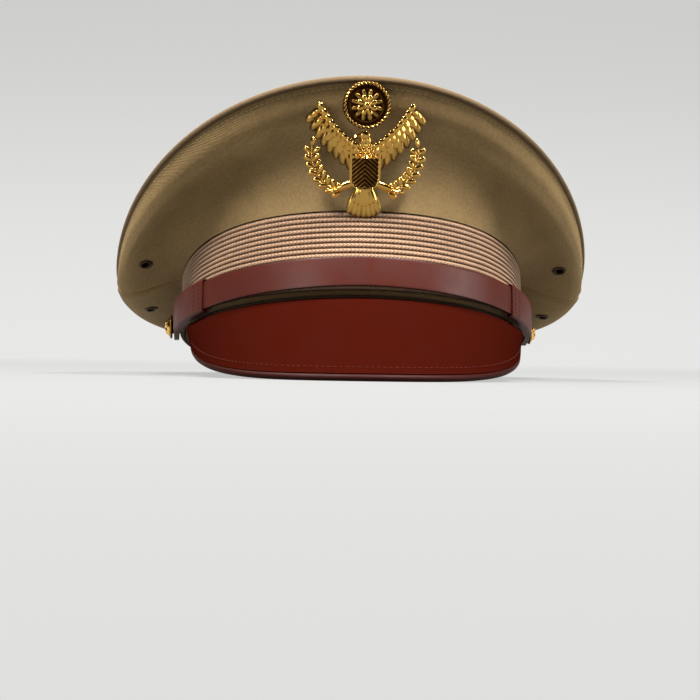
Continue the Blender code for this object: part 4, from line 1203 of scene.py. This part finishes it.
class CAP_OT_buttons(bpy.types.Operator):
    """Turn the domed side buttons and raise a rosette and a rope edge on them"""
    bl_idname = "cap.buttons"
    bl_label = "Side buttons"

    def execute(self, context):
        dome = []
        for i in range(13):
            turn = math.pi / 2 * i / 12
            dome.append((0.0056 * math.sin(turn), 0.0013 + 0.0030 * math.cos(turn)))
        profile = dome + [(0.0060, 0.0015), (0.0062, 0.0012), (0.0060, 0.0009), (0.0036, 0.0008),
                          (0.0036, 0.0), (0.0015, 0.0), (0.0015, -0.0090), (0.0, -0.0090)]
        parts = [(turned_mesh("button_dome", profile, 40), Matrix.Identity(4))]
        bead = bead_mesh(8, 6)
        plume = plume_mesh(10, 8)
        for i in range(30):
            turn = 2 * math.pi * i / 30
            slant = Matrix.Rotation(turn, 4, "Z") @ Matrix.Translation((0.0057, 0.0, 0.0016))
            parts.append((bead, slant @ Matrix.Rotation(math.radians(62.0), 4, "Z")
                          @ Matrix.Diagonal((0.00085, 0.00042, 0.0005, 1.0))))
        for i in range(8):
            turn = Matrix.Rotation(2 * math.pi * i / 8, 4, "Z")
            parts.append((plume, turn @ span((0.0006, 0.0), (0.0040, 0.0), 0.00115, 0.0007, 0.0045, -0.0011)))
        parts.append((bead, bead_at(0.0, 0.0, 0.0044, 0.0011, 0.0011, 0.0006)))
        for side, name in ((-1, "left"), (1, "right")):
            z = Vector((side, 0.0, 0.0))
            x = Vector((0.0, 0.0, 1.0)).cross(z)
            turn = axes(x, z.cross(x), z)
            at = Matrix.Translation((side * (HEAD_WIDTH / 2 + BUTTON_SEAT), 0.0, BUTTON_HEIGHT))
            button = joined("side_button_" + name + "_gilt", parts, CAP @ at @ turn, relief=(0.0006, 0.0040))
            dress(button, gilt_metal(), "button_" + name, "gilt", "side_button_" + name)
        return {"FINISHED"}


def badge_matrix():
    """Where the badge stands on the front cloth: its plane, upright direction and facing."""
    samples = [quarter_point(0.0, share / 40) for share in range(41)]
    upright = (quarter_point(0.0, 0.92) - quarter_point(0.0, 0.05)).normalized()
    facing = upright.cross(RIGHT)
    if facing.y > 0.0:
        facing = -facing
    middle = quarter_point(0.0, BADGE_CENTRE_SHARE)
    bulge = max((point - middle).dot(facing) for point in samples)
    x = upright.cross(facing).normalized()
    turn = axes(x, facing.cross(x), facing)
    return CAP @ Matrix.Translation(middle + facing * (bulge + BADGE_STANDOFF)) @ turn


def badge_bend(point):
    return Vector((point.x, point.y, point.z - point.x ** 2 / (2 * BADGE_CURVE_RADIUS)))


class CAP_OT_badge(bpy.types.Operator):
    """Raise the badge: a spread bird with leaf sprigs, a rosette disc and a ribbed shield"""
    bl_idname = "cap.badge"
    bl_label = "Badge"

    def execute(self, context):
        self.plume = plume_mesh()
        self.leaf = plume_mesh(8, 6, 0.45)
        self.bead = bead_mesh(14, 10)
        self.small = bead_mesh(8, 6)
        parts = self.body() + self.tail()
        for side in (-1, 1):
            parts += self.wing(side) + self.sprig(side)
        place = badge_matrix()
        bird = joined("badge_bird_gilt", parts, place, badge_bend, (-0.0004, 0.0016))
        dress(bird, gilt_metal(), "cap", "gilt", "badge_bird", smooth=55.0)
        self.disc(place)
        self.shield(place)
        return {"FINISHED"}

    def body(self):
        bead, plume = self.bead, self.plume
        parts = [(bead, bead_at(0.0, -0.0050, 0.0002, 0.0058, 0.0105, 0.0017)),
                 (bead, bead_at(0.0, 0.0035, 0.0006, 0.0029, 0.0046, 0.0014)),
                 (bead, bead_at(-0.0004, 0.0072, 0.0009, 0.0027, 0.0024, 0.0015)),
                 (plume, span((-0.0018, 0.0076), (-0.0062, 0.0062), 0.0010, 0.0010, 0.0012)),
                 (self.small, bead_at(-0.0014, 0.0079, 0.0022, 0.0005, 0.0005, 0.0004))]
        for row in range(5):
            y = 0.0050 - 0.0024 * row
            wide = 0.0014 + 0.0010 * row
            count = 2 + row
            for i in range(count):
                x = mix(-wide, wide, i / (count - 1))
                z = 0.0016 + 0.0001 * row - x * x * 30.0
                start, end = (x * 0.9, y + 0.0014), (x * 1.08, y - 0.0020)
                parts.append((self.leaf, span(start, end, 0.0010, 0.0007, z)))
        return parts

    def tail(self):
        parts = []
        # Each row's count of feathers, reach as a share of the badge's height, half width and height
        rows = ((7, 0.320, 0.0024, 0.0), (6, 0.27, 0.0017, 0.0006))
        for row, (count, reach, width, height) in enumerate(rows):
            for i in range(count):
                share = 2.0 * i / (count - 1) - 1.0
                fan = math.radians(21.0) * share
                start = (0.0012 * share, -0.0150)
                long = reach * BADGE_HEIGHT - 0.0010 * share * share - 0.0030 * row
                end = (start[0] + long * math.sin(fan) * 0.85, start[1] - long * math.cos(fan) * 0.83)
                parts.append((self.plume, span(start, end, width, 0.0011, height)))
        return parts

    def wing(self, side):
        shoulder = Vector((side * 0.0030, 0.0010))
        wrist = Vector((side * 0.0125, 0.0090))
        tip = Vector((side * 0.0225, 0.0215))
        parts = []

        def arm(share):
            rest = 1.0 - share
            bow = wrist + Vector((side * 0.0025, -0.0010))
            return shoulder * rest * rest + bow * 2 * rest * share + tip * share * share

        # Each row's count of feathers, inner and outer length, half width, half thickness and height
        rows = ((10, 0.0165, 0.0105, 0.0021, 0.0010, -0.0002), (9, 0.0110, 0.0072, 0.0018, 0.0010, 0.0005),
                (10, 0.0062, 0.0045, 0.0014, 0.0009, 0.0011))
        for count, inner, outer, width, thick, height in rows:
            for i in range(count):
                share = i / (count - 1)
                root = arm(0.06 + 0.90 * share)
                lean = mix(math.radians(-104.0), math.radians(-50.0), share ** 1.35)
                way = Vector((side * math.cos(lean), math.sin(lean)))
                end = root + way * mix(inner, outer, share)
                parts.append((self.plume, span(root - way * 0.0012, end, width, thick,
                                               height + 0.00012 * (i % 2))))
        for i in range(9):
            share = i / 8
            a, b = arm(0.02 + 0.86 * share), arm(0.02 + 0.86 * share + 0.16)
            parts.append((self.bead, span(a, b, 0.0016, 0.0010, 0.0013)))
        return parts

    def sprig(self, side):
        centre = Vector((side * 0.0057, -0.0013))
        reach = 0.0202

        def stem(share):
            turn = mix(math.radians(-74.0), math.radians(6.0), share)
            return centre + Vector((side * math.cos(turn), math.sin(turn))) * reach

        parts = []
        count = 8
        for i in range(count):
            a, b = stem(i / count), stem((i + 1.2) / count)
            parts.append((self.small, span(a, b, 0.0006, 0.0008, 0.0002)))
            run = (b - a).normalized()
            across = Vector((-run.y, run.x))
            for way in (-1, 1):
                leaf = (run * 0.75 + across * way * 0.8) * 0.0046
                lift = 0.0002 + 0.0003 * ((i + way) % 2)
                parts.append((self.leaf, span(a, a + leaf, 0.00135, 0.0009, lift)))
            if i % 2:
                berry = a + across * 0.0016
                parts.append((self.small, bead_at(berry.x, berry.y, 0.0010, 0.0007, 0.0007, 0.0006)))
        last = stem(1.0)
        parts.append((self.leaf, span(last, last + Vector((-side * 0.0010, 0.0050)), 0.0013, 0.0009, 0.0003)))
        hip, claw = Vector((side * 0.0030, -0.0150)), stem(0.12)
        parts.append((self.bead, span(hip, claw, 0.0019, 0.0013, 0.0006)))
        for i in range(3):
            toe = claw + Vector((side * (0.0008 + 0.0016 * i), -0.0024 + 0.0009 * i))
            parts.append((self.small, span(claw - (toe - claw) * 0.5, toe, 0.0006, 0.0008, 0.0010)))
        return parts

    def disc(self, place):
        profile = [(0.0, 0.0016), (0.0066, 0.0012), (0.0074, 0.0015), (0.0080, 0.0017), (0.0086, 0.0014),
                   (0.0096, 0.0012), (0.0104, 0.0016), (0.0112, 0.0013), (0.0116, 0.0006), (0.0112, 0.0),
                   (0.0, 0.0)]
        parts = [(turned_mesh("badge_plate", profile, 64), Matrix.Identity(4))]
        for i in range(34):
            turn = Matrix.Rotation(2 * math.pi * i / 34, 4, "Z") @ Matrix.Translation((0.0106, 0.0, 0.0015))
            parts.append((self.small, turn @ Matrix.Rotation(math.radians(58.0), 4, "Z")
                          @ Matrix.Diagonal((0.0015, 0.00062, 0.0008, 1.0))))
        # Each ring of petals: count, where they start and end, half width and height
        rings = ((12, 0.0022, 0.0078, 0.0012, 0.0015), (8, 0.0010, 0.0052, 0.0013, 0.0021))
        for count, start, end, width, height in rings:
            for i in range(count):
                turn = Matrix.Rotation(2 * math.pi * (i + 0.5) / count, 4, "Z")
                parts.append((self.leaf, turn @ span((start, 0.0), (end, 0.0), width, 0.0008, height)))
        parts.append((self.bead, bead_at(0.0, 0.0, 0.0024, 0.0017, 0.0017, 0.0009)))
        at = place @ Matrix.Translation((0.0, 0.5 * BADGE_HEIGHT - 0.0118, 0.0017))
        disc = joined("badge_disc_gilt", parts, at, relief=(0.0012, 0.0034))
        dress(disc, gilt_metal(), "cap", "gilt", "badge_disc", smooth=55.0)

    def shield(self, place):
        wide, tall = SHIELD_WIDTH / 2, SHIELD_HEIGHT / 2

        def half_width(y):
            below = min(1.0, max(0.0, (-0.15 * tall - y) / (0.85 * tall)))
            return wide * math.sqrt(max(0.0, 1.0 - below ** (2 / 0.7)))

        def rim(x, y):
            edge = min(half_width(y) - abs(x), tall - y, tall + y)
            return 1.0 - smooth_step((edge - 0.0008) / 0.0005)

        def ribs(x, y):
            return 0.5 + 0.5 * math.cos(2 * math.pi * (y + abs(x) * 0.9) / 0.0021)

        def face(u, v):
            y = mix(-tall, tall, v) - 0.1 * tall * (1.0 - abs(u)) * smooth_step(v * 3.0 - 2.0)
            x = half_width(mix(-tall, tall, v)) * u
            z = 0.0004 + 0.00065 * max(rim(x, y), ribs(x, y) * 0.8) + 0.0006 * (1.0 - u * u)
            return Vector((x, y, z))

        shield = laid_sheet("badge_shield_gilt", face, steps(-1.0, 1.0, 48), steps(0.0, 1.0, 48),
                            frame_matrix=Matrix.Identity(4))
        relief = [max(rim(v.co.x, v.co.y), 0.32 * ribs(v.co.x, v.co.y)) for v in shield.data.vertices]
        shield.data.attributes.new("relief", "FLOAT", "POINT").data.foreach_set("value", relief)
        apply_modifier(shield, "SOLIDIFY", thickness=0.0010, offset=-1.0)
        shield.data.transform(place @ Matrix.Translation((0.0, -0.16 * BADGE_HEIGHT, 0.0022)))
        dress(shield, gilt_metal(), "cap", "gilt", "badge_breast_shield", smooth=55.0)


class CAP_OT_inside(bpy.types.Operator):
    """Fit the sweatband, its bow, the lining and the clear film under it"""
    bl_idname = "cap.inside"
    bl_label = "Sweatband and lining"

    def execute(self, context):
        ring = steps(-math.pi, math.pi, 200)

        def sweatband(angle, share):
            high = min(SWEATBAND_HEIGHT, band_top(angle) - SWEATBAND_BELOW_BAND_TOP)
            bulge = -SWEATBAND_HOLLOW * math.sin(math.pi * share)
            return oval(angle, SWEATBAND_MIDDLE + bulge, mix(0.0, high, share))

        band = laid_sheet("sweatband_leather_band", sweatband, ring, steps(0.0, 1.0, 12), (0.58, 0.03))
        apply_modifier(band, "SOLIDIFY", thickness=SWEATBAND_THICKNESS, offset=0.0)
        dress(band, sweatband_leather(), "cap", "sweatband_leather", "sweatband")
        for name, height in SWEATBAND_ROWS:

            def row(angle, height=height):
                return oval(angle, -0.0002, height), -Vector((math.sin(angle), -math.cos(angle), 0.0))

            sew("sweatband_{}_stitching".format(name), row, -math.pi, math.pi, "cap", khaki_thread(),
                "sweatband_leather")
        self.bow()

        def lining(angle, share):
            point = lining_point(angle, share)
            pleat = LINING_PLEAT_DEPTH * math.cos(angle * LINING_PLEATS)
            point.z += pleat * smooth_step(share * 2.0 - 0.6) * (1.0 - share) * 2.0
            return point

        cloth = laid_sheet("crown_lining_cloth", lining, steps(-math.pi, math.pi, 224), steps(0.0, 1.0, 30),
                           (0.5, 0.11))
        cloth_sheet(cloth, LINING_THICKNESS)
        dress(cloth, lining_cloth(), "cap", "lining_cloth", "crown_lining")

        def film(angle, share):
            reach = math.hypot(math.sin(angle) * HEAD_WIDTH / FILM_WIDTH,
                               math.cos(angle) * HEAD_LENGTH / FILM_LENGTH)
            return lining_point(angle, share / reach) - Vector((0.0, 0.0, FILM_DROP))

        shield = laid_sheet("sweat_shield_film", film, steps(-math.pi, math.pi, 96), steps(0.0, 1.0, 14))
        apply_modifier(shield, "SOLIDIFY", thickness=FILM_THICKNESS, offset=0.0)
        dress(shield, clear_film(), "cap", "clear_film", "sweat_shield")

        def tape(angle):
            return film(angle, 1.0)

        ring = steps(-math.pi, math.pi, 120)
        edge = laid_tube("sweat_shield_tape", tape, ring, TAPE_RADIUS, 10, (0.36, 0.008), flat=0.6)
        dress(edge, lining_cloth(), "cap", "lining_cloth")
        return {"FINISHED"}

    def bow(self):
        reach = BOW_HALF_LENGTH / HEAD_WIDTH

        def ribbon(turn, side):
            half = BOW_HALF_WIDTH * (0.30 + 0.70 * math.sin(math.pi / 2 * min(1.0, abs(turn) / 0.7)))
            swell = 0.0005 * math.sin(math.pi * min(1.0, abs(turn))) * (1.0 - side * side)
            return oval(math.pi + turn * reach, -0.0008 - swell, BOW_HEIGHT + side * half)

        bow = laid_sheet("sweatband_bow_ribbon", ribbon, steps(-1.0, 1.0, 44), steps(-1.0, 1.0, 10),
                         (BOW_HALF_LENGTH, 0.011))
        apply_modifier(bow, "SOLIDIFY", thickness=BOW_THICKNESS, offset=0.0)
        dress(bow, piping_cloth(), "cap", "khaki_piping", "sweatband_bow")
        at = oval(math.pi, -0.0012, BOW_HEIGHT)
        knot = joined("sweatband_bow_knot", [(bead_mesh(12, 8), bead_at(*at, 0.0018, 0.0008, 0.0024))], CAP)
        knot.data.uv_layers.new(name="UVMap")
        dress(knot, piping_cloth(), "cap", "khaki_piping")


class CAP_OT_stiffeners(bpy.types.Operator):
    """Finish the board, wire and screws that stay as the solids give them"""
    bl_idname = "cap.stiffeners"
    bl_label = "Boards, wire and screws"

    def execute(self, context):
        finishes = {
            fibre_board(): ("band_frame", "front_stay", "visor_core"),
            plain_metal("spring_steel", colours().steel, 0.32): ("crown_grommet", "grommet_ferrule"),
            plain_metal("turned_brass", colours().gilt, 0.30): ("button_nut_left", "button_nut_right",
                                                                "badge_post", "badge_nut"),
        }
        for material, nodes in finishes.items():
            for node in nodes:
                data = frame["nodes"][node].data
                data.materials.clear()
                data.materials.append(material)
        return {"FINISHED"}


class CAP_OT_stage(bpy.types.Operator):
    """Set the pale floor and backdrop, the soft lights and the camera"""
    bl_idname = "cap.stage"
    bl_label = "Stage, lights and camera"

    def execute(self, context):
        self.sweep()
        for name, at, size, power in LIGHTS:
            self.light(name, at, size, power)
        self.camera(context)
        context.scene.view_settings.view_transform = "Standard"
        self.surroundings(context)
        return {"FINISHED"}

    def surroundings(self, context):
        """A faint even fill, which the camera sees as a pale backdrop."""
        world = bpy.data.worlds.new("studio_world")
        context.scene.world = world
        world.use_nodes = True
        tree = world.node_tree
        background = tree.nodes["Background"].inputs
        background["Color"].default_value = (1.0, 1.0, 1.0, 1.0)
        seen = add_node(tree, "LightPath").outputs["Is Camera Ray"]
        tree.links.new(ramp(tree, seen, 0.0, 1.0, WORLD_FILL, WORLD_SEEN), background["Strength"])

    def sweep(self):
        """A floor that curves up into a backdrop."""
        def surface(across, along):
            past = along - SWEEP_START
            if past <= 0.0:
                return Vector((across, along, 0.0))
            quarter = SWEEP_RADIUS * math.pi / 2
            turn = min(past, quarter) / SWEEP_RADIUS
            height = SWEEP_RADIUS * (1.0 - math.cos(turn)) + max(0.0, past - quarter)
            return Vector((across, SWEEP_START + SWEEP_RADIUS * math.sin(turn), height))

        sweep = laid_sheet("studio_sweep", surface, steps(-3.0, 3.0, 4), steps(-3.0, 4.6, 76),
                           frame_matrix=Matrix.Identity(4))
        sweep.data.materials.append(self.paper())
        only(sweep)
        bpy.ops.object.shade_smooth()

    def paper(self):
        """Plain paper: pale to the camera and in reflections, dimmer in the light it throws back."""
        material, tree, shader = new_material("studio_paper", 0.95)
        tooth = mottled(tree, place_vector(tree), 4.0, 2.0)
        path = add_node(tree, "LightPath").outputs
        seen = calc(tree, "MAXIMUM", path["Is Camera Ray"], path["Is Transmission Ray"])
        pale = blend(tree, tooth, dimmed(colours().floor, 0.985), colours().floor)
        spot = add_node(tree, "SeparateXYZ", {0: place_vector(tree)}).outputs
        dim = dimmed(colours().floor, FRONT_BOUNCE)
        bounce = blend(tree, ramp(tree, spot["Y"], -0.12, 0.04), dim, REAR_BOUNCE)
        tree.links.new(blend(tree, seen, bounce, pale), shader.inputs["Base Color"])
        white = blend(tree, ramp(tree, spot["Y"], 0.1, 1.5), PAPER_NEAR, PAPER_FAR)
        white = blend(tree, ramp(tree, spot["Z"], 0.0, 0.6), white, PAPER_HIGH)
        glow = add_node(tree, "Emission", {"Color": white})
        share = calc(tree, "MULTIPLY", seen, PAPER_SEEN)
        share = calc(tree, "MAXIMUM", share, calc(tree, "MULTIPLY", path["Is Glossy Ray"], PAPER_MIRRORED))
        mixed = add_node(tree, "MixShader", {0: share, 1: shader.outputs[0], 2: glow.outputs[0]})
        tree.links.new(mixed.outputs[0], tree.nodes["Material Output"].inputs["Surface"])
        return material

    def light(self, name, at, size, power):
        data = bpy.data.lights.new(name, "AREA")
        data.size = size
        data.energy = power
        obj = bpy.data.objects.new(name, data)
        bpy.context.collection.objects.link(obj)
        obj.location = at
        obj.rotation_euler = (Vector(LIGHT_AIM) - Vector(at)).to_track_quat("-Z", "Y").to_euler()

    def camera(self, context):
        ahead = Vector((math.sin(CAMERA_TURN), math.cos(CAMERA_TURN), 0.0))
        up = Vector((0.0, 0.0, 1.0))
        across = ahead.cross(up)
        right = across * math.cos(CAMERA_ROLL) + up * math.sin(CAMERA_ROLL)
        data = bpy.data.cameras.new("photo_camera")
        data.lens = CAMERA_LENS
        data.sensor_width = 36.0
        data.clip_start = 0.01
        obj = bpy.data.objects.new("photo_camera", data)
        bpy.context.collection.objects.link(obj)
        obj.matrix_world = Matrix.Translation(CAMERA_PLACE) @ axes(right, right.cross(ahead), -ahead)
        context.scene.camera = obj


class CAP_PT_panel(bpy.types.Panel):
    """The cap's pieces, sizes and colours"""
    bl_idname = "CAP_PT_panel"
    bl_label = "Peaked cap"
    bl_space_type = "VIEW_3D"
    bl_region_type = "UI"
    bl_category = "Cap"

    def draw(self, context):
        layout = self.layout
        for operator in PIECES:
            layout.operator(operator.bl_idname)
        for group in (context.scene.cap_trim, context.scene.cap_colours):
            box = layout.box()
            for name in group.bl_rna.properties.keys():
                if name not in ("rna_type", "name"):
                    box.prop(group, name)


PIECES = (CAP_OT_crown, CAP_OT_welt, CAP_OT_eyelets, CAP_OT_band, CAP_OT_visor, CAP_OT_strap, CAP_OT_buttons,
          CAP_OT_badge, CAP_OT_inside, CAP_OT_stiffeners, CAP_OT_stage)
CLASSES = (CapTrim, CapColours, *PIECES, CAP_PT_panel)


def register():
    for cls in CLASSES:
        bpy.utils.register_class(cls)
    bpy.types.Scene.cap_trim = bpy.props.PointerProperty(type=CapTrim)
    bpy.types.Scene.cap_colours = bpy.props.PointerProperty(type=CapColours)


def unregister():
    del bpy.types.Scene.cap_colours
    del bpy.types.Scene.cap_trim
    for cls in reversed(CLASSES):
        bpy.utils.unregister_class(cls)


def main():
    register()
    bpy.ops.cap.crown()
    bpy.ops.cap.welt()
    bpy.ops.cap.eyelets()
    bpy.ops.cap.band()
    bpy.ops.cap.visor()
    bpy.ops.cap.strap()
    bpy.ops.cap.buttons()
    bpy.ops.cap.badge()
    bpy.ops.cap.inside()
    bpy.ops.cap.stiffeners()
    bpy.ops.cap.stage()


if __name__ == "__main__":
    main()
